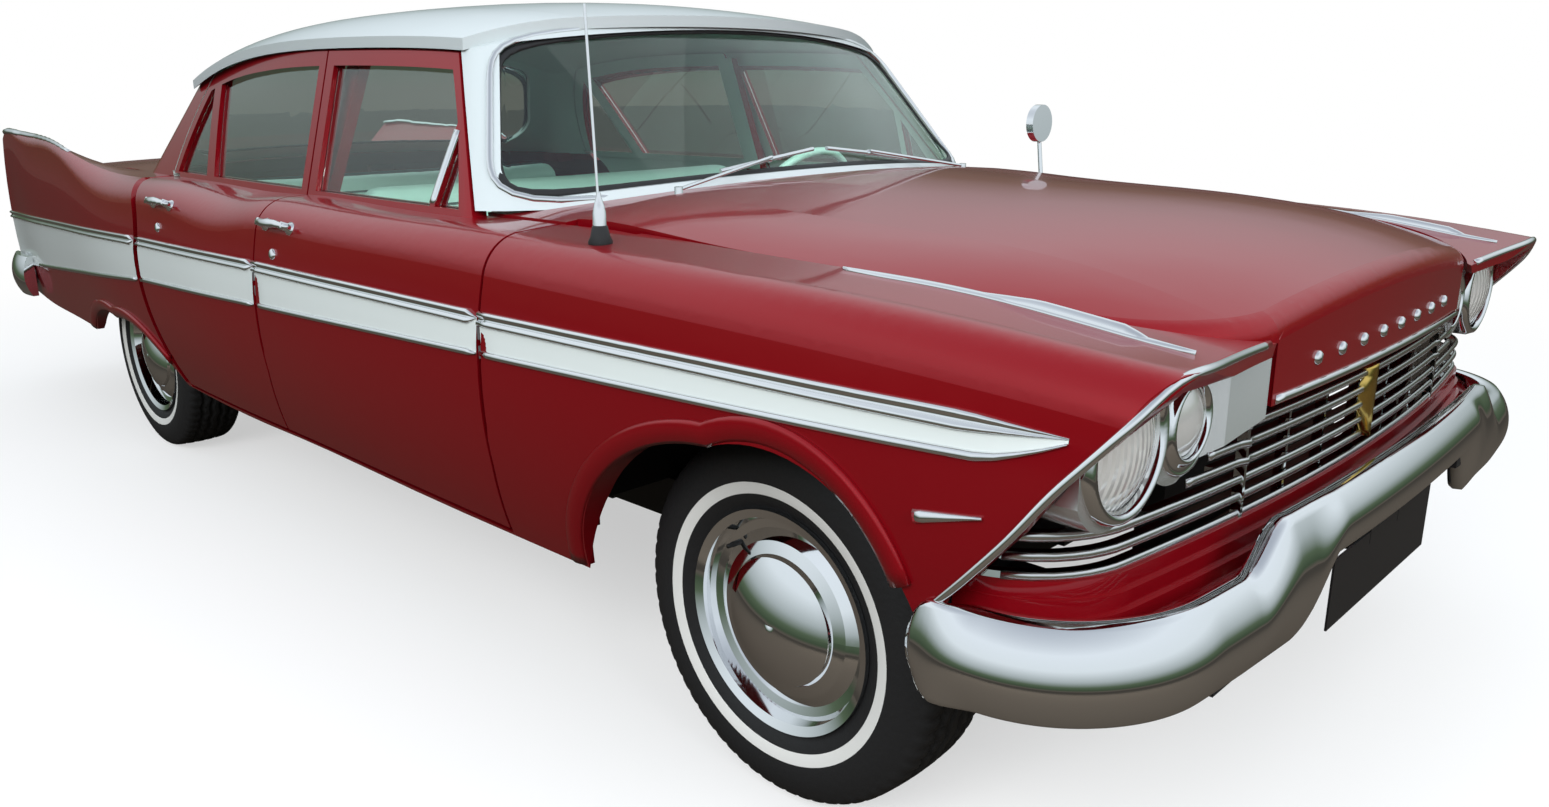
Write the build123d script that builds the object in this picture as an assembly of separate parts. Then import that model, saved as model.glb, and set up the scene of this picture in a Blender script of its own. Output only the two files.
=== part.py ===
from build123d import *
from collections import namedtuple
from math import asin, degrees
import os

os.makedirs("parts", exist_ok=True)

# Sizes in millimetres. X runs to the front, Y to the car's left, Z up; the tyres stand on Z = 0.
LENGTH = 5197
HALF_LENGTH = LENGTH / 2
FRONT_AXLE_X = 1855
REAR_AXLE_X = -1142
TYRE_R = 330
TYRE_W = 196
FRONT_TRACK_Y = 773
REAR_TRACK_Y = 757
KINGPIN_Y = 690
GAP = 8
SKIN = 25
FOOT_WALL = 65
FIN_RISE = 45
RUN_FIT = 0.3

# Side of the body, front to tail: foot, widest point, turn of the shoulder, crest, inner edge.
Side = namedtuple("Side", "x y_foot z_foot y_wide z_wide y_turn z_turn y_crest z_crest y_edge z_edge")
SIDE = [
    Side(2545, 925, 420, 943, 730, 931, 815, 845, 880, 470, 845),
    Side(2400, 936, 395, 965, 735, 951, 832, 860, 894, 600, 880),
    Side(2200, 943, 366, 985, 738, 967, 846, 872, 911, 730, 914),
    Side(1855, 947, 345, 999, 742, 979, 858, 883, 927, 735, 931),
    Side(1500, 946, 340, 1004, 744, 984, 865, 890, 938, 760, 944),
    Side(1180, 945, 336, 1006, 745, 986, 871, 897, 945, 808, 951),
    Side(700, 945, 335, 1008, 745, 988, 872, 900, 946, 813, 951),
    Side(150, 945, 335, 1007, 745, 987, 872, 899, 946, 812, 951),
    Side(-400, 942, 337, 1001, 743, 980, 872, 894, 945, 806, 950),
    Side(-800, 935, 348, 990, 736, 967, 873, 888, 945, 796, 948),
    Side(-1142, 926, 366, 974, 728, 952, 880, 886, 948, 782, 946),
    Side(-1480, 913, 385, 950, 712, 922, 948, 888, 987, 752, 938),
    Side(-1900, 892, 390, 920, 690, 888, 1000, 862, 1031, 722, 924),
    Side(-2220, 869, 393, 893, 670, 874, 1010, 850, 1040, 706, 908),
    Side(-2540, 845, 395, 866, 650, 855, 1010, 834, 1038, 690, 892),
]

# Joints between the side panels, seen from the side as x, z.
DOOR_SILL_Z = 352
SILL_TOP_Z = 343
RAIL_Y0 = 440
RAIL_Y1 = 510
RAIL_Z0 = 246
RAIL_Z1 = SILL_TOP_Z
SHAFT_BAY_Y = 142
GEARBOX_Z = 262
DOOR_TOP_Z = 955
FRONT_DOOR_X = 1222
B_POST_X = 214
HINGE_F_Y = 1002
HINGE_R_Y = 1004
EDGE_RELIEF = 5

# Greenhouse in plan at two heights: corner and middle of the front, the side and the rear.
Glass = namedtuple("Glass", "z x_front y_front x_nose y_side x_side x_rear y_rear x_tail r_front r_rear")
GLASSHOUSE = [
    Glass(900, 1045, 880, 1331, 866, 214, -1075, 822, -1394, 130, 150),
    Glass(1420, 722, 640, 858, 677, 100, -712, 606, -838, 90, 110),
]
PILLAR_T = 34
GLASS_IN = 13
GLASS_T = 5

# Roof from front to rear: crown height, edge half width and height.
Roof = namedtuple("Roof", "x z_crown y_edge z_edge")
ROOF = [
    Roof(1000, 1362, 690, 1288),
    Roof(700, 1412, 714, 1318),
    Roof(200, 1440, 724, 1332),
    Roof(-300, 1434, 724, 1320),
    Roof(-700, 1405, 716, 1262),
    Roof(-1020, 1352, 704, 1160),
]
ROOF_T = 26
ROOF_SHOULDER_SHARE = 0.68

# Hood and trunk lid: crown height, and height at a half width beyond the lid's edge.
HOOD = [
    Roof(1200, 1012, 820, 945),
    Roof(1550, 1013, 820, 925),
    Roof(1900, 1004, 820, 898),
    Roof(2200, 982, 820, 868),
    Roof(2400, 944, 820, 814),
    Roof(2560, 894, 820, 752),
]
TRUNK = [
    Roof(-1300, 968, 780, 938),
    Roof(-1700, 958, 780, 926),
    Roof(-2100, 940, 780, 906),
    Roof(-2560, 900, 780, 872),
]
LID_T = 26
HOOD_LIP_Z = 755
HOOD_WALL_X = 2452
NOSE_R = 42
TRUNK_LIP_Z = 610


def mirrored(shape):
    return mirror(shape, about=Plane.XZ)


def pair_of(shape):
    return shape + mirrored(shape)


def box(x0, x1, y0, y1, z0, z1):
    return Pos((x0 + x1) / 2, (y0 + y1) / 2, (z0 + z1) / 2) * Box(x1 - x0, y1 - y0, z1 - z0)


def rod(start, end, r):
    direction = Vector(*end) - Vector(*start)
    return extrude(Plane(origin=start, z_dir=direction) * Circle(r), direction.length)


def polygon(*points):
    return make_face(Polyline(*points, close=True))


def dome(r, base, top):
    rise = top - base
    ball_r = (r * r + rise * rise) / (2 * rise)
    half_angle = degrees(asin(r / ball_r))
    return CenterArc((0, top - ball_r), ball_r, 90 - half_angle, half_angle)


def prism_x(face, x0, x1):
    return extrude(Plane.YZ.offset(x0) * face, x1 - x0, dir=(1, 0, 0))


def prism_y(face, y0, y1):
    return extrude(Plane.XZ.offset(-y0) * face, y1 - y0, dir=(0, 1, 0))


def prism_z(face, z0, z1):
    return extrude(Plane.XY.offset(z0) * face, z1 - z0, dir=(0, 0, 1))


# Side of the body
def side_face(row):
    side = ThreePointArc((row.y_foot, row.z_foot), (row.y_wide, row.z_wide), (row.y_turn, row.z_turn))
    shoulder = TangentArc((row.y_turn, row.z_turn), (row.y_crest, row.z_crest), tangent=side % 1)
    rest = Polyline(
        (row.y_crest, row.z_crest),
        (row.y_edge, row.z_edge),
        (row.y_foot - FOOT_WALL, row.z_foot),
        (row.y_foot, row.z_foot),
    )
    return Plane.YZ.offset(row.x) * make_face([side, shoulder, rest])


def core_face(row):
    inner_top = row.z_edge - SKIN
    top = inner_top if row.z_crest - row.z_edge > FIN_RISE else row.z_crest - SKIN
    points = (
        (row.y_foot - SKIN, row.z_foot - 20),
        (row.y_wide - SKIN - 4, row.z_wide),
        (row.y_wide - SKIN - 18, min(row.z_turn, top) - 20),
        (row.y_wide - SKIN - 60, top),
        (row.y_edge - 90, inner_top),
        (row.y_edge - 90, row.z_foot - 20),
    )
    return Plane.YZ.offset(row.x) * polygon(*points)


side_block = loft([side_face(row) for row in SIDE])
core_rows = SIDE[:-1] + [SIDE[-1]._replace(x=-2470)]
side_core = loft([core_face(row) for row in core_rows], ruled=True)
side_shell = side_block - side_core

front_door_face = polygon(
    (FRONT_DOOR_X - GAP / 2, DOOR_TOP_Z),
    (FRONT_DOOR_X - GAP / 2, 500),
    (FRONT_DOOR_X - 20, DOOR_SILL_Z),
    (B_POST_X - 30, DOOR_SILL_Z),
    (B_POST_X + GAP / 2, 520),
    (B_POST_X + GAP / 2, DOOR_TOP_Z),
)
rear_door_face = make_face(
    [
        Polyline(
            (-780, DOOR_TOP_Z),
            (B_POST_X - GAP / 2, DOOR_TOP_Z),
            (B_POST_X - GAP / 2, 520),
            (B_POST_X - 30 - GAP, DOOR_SILL_Z),
            (-500, DOOR_SILL_Z),
        ),
        ThreePointArc((-500, DOOR_SILL_Z), (-596, 540), (-645, 740)),
        ThreePointArc((-645, 740), (-664, 860), (-745, 935)),
        Line((-745, 935), (-780, DOOR_TOP_Z)),
    ]
)
Y_FAR = 1100
front_door_zone = prism_y(front_door_face, 600, Y_FAR)
rear_door_zone = prism_y(rear_door_face, 600, Y_FAR)
front_door_gap = prism_y(offset(front_door_face, GAP, kind=Kind.INTERSECTION), 600, Y_FAR)
rear_door_gap = prism_y(offset(rear_door_face, GAP, kind=Kind.INTERSECTION), 600, Y_FAR)

front_arch = prism_y(
    make_face(
        [
            ThreePointArc((1452, 300), (1592, 577), (1850, 676)),
            ThreePointArc((1850, 676), (2110, 655), (2235, 300)),
            Line((2235, 300), (1452, 300)),
        ]
    ),
    500,
    Y_FAR,
)
rear_arch = prism_y(
    make_face(
        [
            ThreePointArc((-1520, 300), (-1330, 455), (-1040, 486)),
            ThreePointArc((-1040, 486), (-730, 462), (-500, 300)),
            Line((-500, 300), (-1520, 300)),
        ]
    ),
    500,
    Y_FAR,
)
front_well = Pos(FRONT_AXLE_X, 0, TYRE_R) * extrude(Plane.XZ * Circle(412), 945, dir=(0, 1, 0))
rear_well = Pos(REAR_AXLE_X, 0, TYRE_R) * extrude(Plane.XZ * Circle(366), 895, dir=(0, 1, 0))

nose_side = prism_y(
    polygon(
        (2700, 1000), (2545, 1000), (2545, 884), (2526, 852), (2478, 792), (2424, 730),
        (2375, 660), (2310, 585), (2258, 530), (2238, 470), (2236, 200), (2700, 200),
    ),
    300,
    Y_FAR,
)
nose_plan = prism_z(
    make_face(
        [
            ThreePointArc((2496, 440), (2514, 640), (2540, 810)),
            ThreePointArc((2540, 810), (2524, 900), (2440, 985)),
            Polyline((2440, 985), (2700, 985), (2700, 440), (2496, 440)),
        ]
    ),
    200,
    1100,
)

doors_cut = side_shell - front_door_gap - rear_door_gap
fender_zone = box(FRONT_DOOR_X - 16, 2700, 300, Y_FAR, 200, 1100)
front_fender = (doors_cut & fender_zone) - front_arch - front_well - nose_side - nose_plan
front_fender -= box(FRONT_DOOR_X - 20, FRONT_DOOR_X + GAP / 2 + EDGE_RELIEF, HINGE_F_Y, Y_FAR, 300, 1000)
quarter_zone = box(-2700, -500, 300, Y_FAR, 200, 1200) - box(-520, -400, 300, Y_FAR, 200, SILL_TOP_Z)
quarter = (doors_cut & quarter_zone) - rear_arch - rear_well
rear_hinge = Pos(B_POST_X, HINGE_R_Y, 0)
for angle in (4, 8, 12, 16):
    quarter -= rear_hinge * Rot(0, 0, -angle) * rear_hinge.inverse() * rear_door_zone

rocker_zone = box(-520, FRONT_DOOR_X - 16, 300, Y_FAR, 200, SILL_TOP_Z)
rocker = (side_block & rocker_zone) - front_door_gap - rear_door_gap
rocker += box(-500, FRONT_DOOR_X - 16, 790, 885, 322, SILL_TOP_Z)


# Roof, glass and pillars
def glass_face(row, inset):
    front = ThreePointArc((row.x_front, -row.y_front), (row.x_nose, 0), (row.x_front, row.y_front))
    left = ThreePointArc((row.x_front, row.y_front), (row.x_side, row.y_side), (row.x_rear, row.y_rear))
    rear = ThreePointArc((row.x_rear, row.y_rear), (row.x_tail, 0), (row.x_rear, -row.y_rear))
    right = ThreePointArc((row.x_rear, -row.y_rear), (row.x_side, -row.y_side), (row.x_front, -row.y_front))
    face = make_face([front, left, rear, right])
    corners = face.vertices().sort_by(Axis.X)
    face = fillet(corners[:2], row.r_rear)
    corners = face.vertices().sort_by(Axis.X)
    face = fillet(corners[-2:], row.r_front)
    if inset:
        face = offset(face, -inset)
    return Plane.XY.offset(row.z) * face


def glass_block(inset):
    return loft([glass_face(row, inset) for row in GLASSHOUSE])


def crown_curves(row, drop):
    z_mid = row.z_edge + ROOF_SHOULDER_SHARE * (row.z_crown - row.z_edge) - drop
    y_mid = row.y_edge * 2 / 3
    crown = ThreePointArc((-y_mid, z_mid), (0, row.z_crown - drop), (y_mid, z_mid))
    left = TangentArc((y_mid, z_mid), (row.y_edge, row.z_edge - drop), tangent=crown % 1)
    right = TangentArc((-y_mid, z_mid), (-row.y_edge, row.z_edge - drop), tangent=(crown % 0) * -1)
    return [crown, left, right]


def crown_below(rows, z_floor, drop=0):
    faces = []
    for row in rows:
        rest = Polyline(
            (row.y_edge, row.z_edge - drop),
            (row.y_edge, z_floor),
            (-row.y_edge, z_floor),
            (-row.y_edge, row.z_edge - drop),
        )
        faces.append(Plane.YZ.offset(row.x) * make_face(crown_curves(row, drop) + [rest]))
    return loft(faces)


def crown_above(rows, drop):
    faces = []
    for row in rows:
        z_low = row.z_edge - drop
        rest = Polyline(
            (row.y_edge, z_low), (1200, z_low), (1200, 1700),
            (-1200, 1700), (-1200, z_low), (-row.y_edge, z_low),
        )
        faces.append(Plane.YZ.offset(row.x) * make_face(crown_curves(row, drop) + [rest]))
    return loft(faces)


roof_plan = prism_z(
    make_face(
        [
            ThreePointArc((748, -740), (934, 0), (748, 740)),
            Line((748, 740), (-800, 740)),
            ThreePointArc((-800, 740), (-930, 0), (-800, -740)),
            Line((-800, -740), (748, -740)),
        ]
    ),
    1000,
    1600,
)
above_roof = crown_above(ROOF, ROOF_T)
above_door = crown_above(ROOF, ROOF_T + GAP)
above_window = crown_above(ROOF, ROOF_T + GAP + PILLAR_T)
roof = crown_below(ROOF, 1050) & above_roof & roof_plan

glass_shell = glass_block(0) - glass_block(PILLAR_T)
pane_shell = glass_block(GLASS_IN) - glass_block(GLASS_IN + GLASS_T)

front_upper_face = polygon((B_POST_X + GAP / 2, 940), (988, 940), (702, 1336), (139, 1336))
rear_upper_face = make_face(
    [
        Polyline((-786, 957), (-738, 957), (-722, 940), (B_POST_X - GAP / 2, 940), (131, 1336), (-590, 1336)),
        ThreePointArc((-590, 1336), (-732, 1160), (-786, 957)),
    ]
)
front_upper_zone = prism_y(front_upper_face, 300, Y_FAR)
rear_upper_zone = prism_y(rear_upper_face, 300, Y_FAR)
front_upper_gap = prism_y(offset(front_upper_face, GAP, kind=Kind.INTERSECTION), 300, Y_FAR)
rear_upper_gap = prism_y(offset(rear_upper_face, GAP, kind=Kind.INTERSECTION), 300, Y_FAR)

WINDOW_SILL_Z = 962
vent_window = polygon((832, WINDOW_SILL_Z), (930, WINDOW_SILL_Z), (842, 1110))
front_window = polygon((254, WINDOW_SILL_Z), (812, WINDOW_SILL_Z), (824, 1136), (670, 1340), (176, 1340))
rear_window = polygon((172, WINDOW_SILL_Z), (94, 1340), (-640, 1340), (-440, WINDOW_SILL_Z))
quarter_window = make_face(
    [
        Polyline((-755, WINDOW_SILL_Z), (-500, WINDOW_SILL_Z), (-642, 1230)),
        ThreePointArc((-642, 1230), (-718, 1100), (-755, WINDOW_SILL_Z)),
    ]
)
front_windows = [vent_window, front_window]
rear_windows = [rear_window, quarter_window]


def window_prisms(faces, inset):
    prisms = [prism_y(offset(face, -inset) if inset else face, 300, Y_FAR) for face in faces]
    return (prisms[0] + prisms[1]) - above_window


def door(low, zone, windows):
    frame = (glass_shell & zone) - above_door
    return low + (frame - window_prisms(windows, 0))


front_door = door(side_block & front_door_zone, front_upper_zone, front_windows)
front_door -= box(B_POST_X, B_POST_X + GAP / 2 + EDGE_RELIEF, HINGE_R_Y, Y_FAR, 300, 1000)
rear_door = door(side_block & rear_door_zone, rear_upper_zone, rear_windows)
front_door_glass = pane_shell & window_prisms(front_windows, RUN_FIT)
rear_door_glass = pane_shell & window_prisms(rear_windows, RUN_FIT)

windshield_face = make_face(
    [
        ThreePointArc((-806, 976), (0, 1020), (806, 976)),
        Line((806, 976), (652, 1302)),
        ThreePointArc((652, 1302), (0, 1345), (-652, 1302)),
        Line((-652, 1302), (-806, 976)),
    ]
)
windshield_face = fillet(windshield_face.vertices(), 45)
backlight_face = make_face(
    [
        ThreePointArc((-690, 985), (0, 1000), (690, 985)),
        Line((690, 985), (560, 1270)),
        ThreePointArc((560, 1270), (0, 1335), (-560, 1270)),
        Line((-560, 1270), (-690, 985)),
    ]
)
backlight_face = fillet(backlight_face.vertices(), 70)
windshield_zone = prism_x(windshield_face, 550, 1500)
backlight_zone = prism_x(backlight_face, -1500, -550)
windshield = pane_shell & prism_x(offset(windshield_face, -RUN_FIT), 550, 1500)
backlight = pane_shell & prism_x(offset(backlight_face, -RUN_FIT), -1500, -550)

# Cowl, deck, hood and trunk lid
cowl_top = prism_x(
    make_face(
        [
            ThreePointArc((-800, 955), (0, 1008), (800, 955)),
            Polyline((800, 955), (800, 925), (-800, 925), (-800, 955)),
        ]
    ),
    960,
    1320,
)
cowl_front = prism_z(
    make_face(
        [
            ThreePointArc((1232, -810), (1302, 0), (1232, 810)),
            Polyline((1232, 810), (900, 810), (900, -810), (1232, -810)),
        ]
    ),
    800,
    1100,
)
cowl = (cowl_top & cowl_front) - glass_block(PILLAR_T + 60)
deck_rows = [Roof(-900, 965, 800, 946), Roof(-1382, 966, 758, 944)]
deck = crown_below(deck_rows, 915) - side_block - mirrored(side_block) - glass_block(PILLAR_T + 60)
deck -= prism_y(rear_door_face, -Y_FAR, Y_FAR)

pillars = glass_shell - above_roof - windshield_zone - backlight_zone - cowl - deck
pillars -= box(-2000, 2000, -1000, 1000, 800, 946)
for cut in (side_block, front_upper_gap, rear_upper_gap, front_door_gap, rear_door_gap):
    pillars = pillars - cut - mirrored(cut)

hood_plan = make_face(
    [
        ThreePointArc((1242, -778), (1310, 0), (1242, 778)),
        ThreePointArc((1242, 778), (1560, 757), (1900, 742)),
        Line((1900, 742), (2250, 728)),
        ThreePointArc((2250, 728), (2410, 640), (2493, 474)),
        ThreePointArc((2493, 474), (2508, 0), (2493, -474)),
        ThreePointArc((2493, -474), (2410, -640), (2250, -728)),
        Line((2250, -728), (1900, -742)),
        ThreePointArc((1900, -742), (1560, -757), (1242, -778)),
    ]
)
hood_inner = crown_below(HOOD, 550, LID_T) & box(1000, HOOD_WALL_X, -900, 900, 500, 1200)
hood_block = crown_below(HOOD, 600) & prism_z(hood_plan, HOOD_LIP_Z, 1200)
nose_edges = hood_block.edges().filter_by(lambda edge: edge.center().X > 2380 and edge.center().Z > 860)
hood = fillet(nose_edges, NOSE_R) - hood_inner
front_fender -= prism_z(offset(hood_plan, 6), 600, 1200)
front_fender -= box(1242, 1430, 700, 784, 850, 1000)

trunk_plan = polygon((-1390, -745), (-1390, 745), (-1900, 715), (-2600, 684), (-2600, -684), (-1900, -715))
trunk_tail = prism_y(
    make_face(
        [
            Polyline((-1000, 500), (-1000, 1100), (-2430, 1100), (-2430, 912)),
            ThreePointArc((-2430, 912), (-2486, 886), (-2508, 830)),
            Polyline((-2508, 830), (-2498, 500), (-1000, 500)),
        ]
    ),
    -900,
    900,
)
trunk_outer = crown_below(TRUNK, 450) & trunk_tail & prism_z(trunk_plan, TRUNK_LIP_Z, 1200)
trunk_inner = crown_below(TRUNK, 400, LID_T) & Pos(26, 0, -20) * trunk_tail
trunk = trunk_outer - trunk_inner
quarter -= prism_z(offset(trunk_plan, 6, kind=Kind.INTERSECTION), 600, 935)


# Nose: nacelles, lamps, grille, valance and bumpers
def nose_band(x_mid, x_turn, y_turn, x_end, y_end, depth):
    def path(inset):
        turn = (x_turn - inset, y_turn - inset / 2)
        end = (x_end, y_end - inset)
        front = ThreePointArc((x_turn - inset, -y_turn + inset / 2), (x_mid - inset, 0), turn)
        left = TangentArc(turn, end, tangent=front % 1)
        right = TangentArc((turn[0], -turn[1]), (end[0], -end[1]), tangent=(front % 0) * -1)
        return front, left, right, end
    front_out, left_out, right_out, end_out = path(0)
    front_in, left_in, right_in, end_in = path(depth)
    left_cap = Line(end_out, end_in)
    right_cap = Line((end_out[0], -end_out[1]), (end_in[0], -end_in[1]))
    return make_face([front_out, left_out, left_cap, left_in, front_in, right_in, right_cap, right_out])


LAMP_FACE_X = 2440
LAMP_Y = 824
LAMP_Z = 764
LAMP_R = 88
PARK_Y = 640
PARK_Z = 757
PARK_R = 52
nacelle_face = make_face(
    [
        Polyline((655, 672), (560, 708), (480, 738), (480, 844)),
        Polyline((480, 844), (690, 844), (760, 862), (860, 862), (925, 800)),
        ThreePointArc((925, 800), (928, 700), (830, 655)),
        ThreePointArc((830, 655), (768, 672), (735, 700)),
        ThreePointArc((735, 700), (700, 678), (655, 672)),
    ]
)
nacelle_plan = polygon(
    (LAMP_FACE_X, 930), (LAMP_FACE_X, 602), (2464, 560), (2488, 480), (2420, 480), (2370, 602), (2370, 930)
)
nacelle = prism_x(nacelle_face, 2300, 2500) & prism_z(nacelle_plan, 600, 900)
hood -= pair_of(prism_z(offset(nacelle_plan, 6), 600, 850))
nacelle -= Pos(LAMP_FACE_X - 30, LAMP_Y, LAMP_Z) * Rot(0, 90, 0) * Cylinder(LAMP_R + RUN_FIT, 60)
nacelle -= Pos(LAMP_FACE_X, PARK_Y, PARK_Z) * Rot(0, 90, 0) * Cylinder(PARK_R + RUN_FIT, 80)
nacelle -= front_fender
nacelle = nacelle.solids().sort_by(SortBy.VOLUME)[-1]
lens_profile = make_face([dome(LAMP_R, 0, 28), Polyline((LAMP_R, 0), (LAMP_R, -58), (0, -58), (0, 28))])
park_profile = make_face([dome(PARK_R, 0, 18), Polyline((PARK_R, 0), (PARK_R, -38), (0, -38), (0, 18))])
head_lens = Pos(LAMP_FACE_X, LAMP_Y, LAMP_Z) * (Rot(0, 0, -90) * revolve(Plane.XY * lens_profile, Axis.Y))
park_lens = Pos(LAMP_FACE_X, PARK_Y, PARK_Z) * (Rot(0, 0, -90) * revolve(Plane.XY * park_profile, Axis.Y))

GRILLE_BARS = 6
GRILLE_Z = 578
GRILLE_STEP = 28
grille_face = nose_band(2482, 2430, 780, 2306, 930, 16)
grille = None
for index in range(GRILLE_BARS):
    z = GRILLE_Z + index * GRILLE_STEP
    bar = prism_z(grille_face, z, z + 10)
    if z + 10 > 655:
        bar &= box(2300, 2600, -560, 560, 500, 800)
    grille = bar if grille is None else grille + bar
for y in (-480, -320, -160, 0, 160, 320, 480):
    grille += box(2452, 2468, y - 4, y + 4, GRILLE_Z, GRILLE_Z + (GRILLE_BARS - 1) * GRILLE_STEP + 10)
VALANCE_STEPS = 5
VALANCE_RISE = 26
valance = None
for index in range(VALANCE_STEPS):
    out = 6 * index
    z = GRILLE_Z - index * VALANCE_RISE
    step = prism_z(nose_band(2490 + out, 2440 + out, 780, 2262, 932, 20), z - VALANCE_RISE, z)
    valance = step if valance is None else valance + step
radiator = box(2240, 2290, -355, 355, SILL_TOP_Z, 745)



def bumper_section(depth, z_low, z_high):
    face_x = -0.52 * depth
    front = ThreePointArc((face_x, z_high), (0, (z_low + z_high) / 2), (face_x, z_low))
    rest = Polyline((face_x, z_low), (-depth, z_low), (-depth, z_high), (face_x, z_high))
    return make_face([front, rest])


class Bow:
    """The bow of a bumper in plan: an arc over the middle, then a bend and a side."""

    def __init__(self, x_front, turn, corner, end):
        sag = x_front - turn[0]
        self.r = (turn[1] ** 2 + sag**2) / (2 * sag)
        self.x_centre = x_front - self.r
        self.y_turn = turn[1]
        middle = self.arc(0, self.y_turn)
        self.bend = TangentArc(turn, corner, tangent=middle % 1)
        self.side = TangentArc(corner, end, tangent=self.bend % 1)

    def angle(self, y):
        return degrees(asin(y / self.r))

    def arc(self, y0, y1):
        return CenterArc((self.x_centre, 0), self.r, self.angle(y0), self.angle(y1) - self.angle(y0))

    def place(self, y, face):
        across = y / self.r
        along = (1 - across**2) ** 0.5
        point = (self.x_centre + self.r * along, y, 0)
        return Plane(origin=point, x_dir=(along, across, 0), z_dir=(across, -along, 0)) * face

    def middle_bar(self, y0, y1, face):
        return sweep(self.place(y0, face), self.arc(y0, y1))

    def end_bar(self, y0, face):
        return sweep(self.place(y0, face), Curve() + [self.arc(y0, self.y_turn), self.bend, self.side])


FRONT_DEPTH = 56
REAR_DEPTH = 44
front_bow = Bow(HALF_LENGTH, (2566, 740), (2462, 940), (2225, 990))
rear_bow = Bow(HALF_LENGTH, (2584, 806), (2505, 910), (2270, 926))
low_section = bumper_section(FRONT_DEPTH, 398, 548)
hump_section = bumper_section(FRONT_DEPTH, 398, 612)
high_section = bumper_section(FRONT_DEPTH, 500, 612)
HUMP = [(385, high_section), (445, hump_section), (545, hump_section), (605, low_section)]
front_half = front_bow.middle_bar(0, HUMP[0][0], high_section)
front_half += loft([front_bow.place(y, face) for y, face in HUMP], ruled=True)
front_half += front_bow.end_bar(HUMP[-1][0], low_section)
front_half = front_half - box(2200, 2262, 700, 972, 300, 700) - front_fender
front_half = front_half.solids().sort_by(SortBy.VOLUME)[-1]
front_bumper = pair_of(front_half)
rear_bumper = mirror(pair_of(rear_bow.end_bar(0, bumper_section(REAR_DEPTH, 400, 560))), about=Plane.YZ)
rear_bumper -= box(-2544, -2200, -872, 872, 300, 700)
for cut in (quarter, mirrored(quarter)):
    rear_bumper -= cut
plate = box(2536, 2540, -155, 155, 335, 470)
for y in (-75, 75):
    plate += box(2532, 2545, y - 12, y + 12, 440, 540)
for y in (-89, 89):
    plate -= rod((2500, y, 450), (2560, y, 450), 3.5)
plate -= front_bumper

# Tail panel and lamps
tail_panel = box(-2540, -2510, -684, 684, 395, TRUNK_LIP_Z - 8)
tail_panel -= box(-2600, -2500, -RAIL_Y1 - 1, RAIL_Y1 + 1, 440, 500)
lamp_face = make_face(
    [
        Line((768, 690), (850, 690)),
        Line((850, 690), (842, 990)),
        ThreePointArc((842, 990), (826, 1004), (812, 990)),
        Line((812, 990), (768, 690)),
    ]
)
tail_lamp = prism_x(lamp_face, -2552, -2540)

# Wheels, tyres and running gear
tyre_profile = make_face(
    [
        Polyline((200, 77), (182, 72), (182, -72), (200, -77)),
        ThreePointArc((200, -77), (252, -TYRE_W / 2), (308, -87)),
        ThreePointArc((308, -87), (321, -79), (327, -64)),
        ThreePointArc((327, -64), (TYRE_R, 0), (327, 64)),
        ThreePointArc((327, 64), (321, 79), (308, 87)),
        ThreePointArc((308, 87), (252, TYRE_W / 2), (200, 77)),
    ]
)
SPINDLE_R = 24
rim_profile = make_face(
    [
        Polyline(
            (0, 102), (0, 30), (SPINDLE_R + RUN_FIT, 30), (SPINDLE_R + RUN_FIT, -30), (62, -30), (70, 44),
            (130, 48), (150, 40), (172, 40), (172, -60), (176, -84), (194, -84), (194, -78), (181.7, -73),
            (181.7, 73), (200, 78.5), (200, 88), (184, 82), (176, 58), (160, 55), (140, 66), (118, 72),
            (114, 80),
        ),
        dome(114, 80, 102),
    ]
)
tyre = revolve(tyre_profile, Axis.Y)
rim = revolve(rim_profile, Axis.Y)


def at_wheel(shape, axle_x, track_y):
    return Pos(axle_x, track_y, TYRE_R) * shape


knuckle = rod((FRONT_AXLE_X, KINGPIN_Y, 215), (FRONT_AXLE_X, KINGPIN_Y, 445), 30)
knuckle += rod((FRONT_AXLE_X, KINGPIN_Y, TYRE_R), (FRONT_AXLE_X, FRONT_TRACK_Y + 28, TYRE_R), SPINDLE_R)
knuckle += rod((FRONT_AXLE_X, KINGPIN_Y + 22, TYRE_R), (FRONT_AXLE_X, KINGPIN_Y + 46, TYRE_R), 108)
for z0, z1 in ((214, 262), (398, 446)):
    knuckle -= rod((FRONT_AXLE_X, KINGPIN_Y, z0), (FRONT_AXLE_X, KINGPIN_Y, z1), 12 + RUN_FIT)

arm_face = polygon((1705, 436), (2005, 436), (1880, KINGPIN_Y), (1830, KINGPIN_Y))
lower_arm = prism_z(arm_face + Pos(FRONT_AXLE_X, KINGPIN_Y) * Circle(25), 188, 212)
lower_arm += rod((FRONT_AXLE_X, KINGPIN_Y, 200), (FRONT_AXLE_X, KINGPIN_Y, 258), 12)
upper_arm = prism_z(arm_face + Pos(FRONT_AXLE_X, KINGPIN_Y) * Circle(25), 448, 470)
upper_arm += rod((FRONT_AXLE_X, KINGPIN_Y, 402), (FRONT_AXLE_X, KINGPIN_Y, 460), 12)

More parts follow.
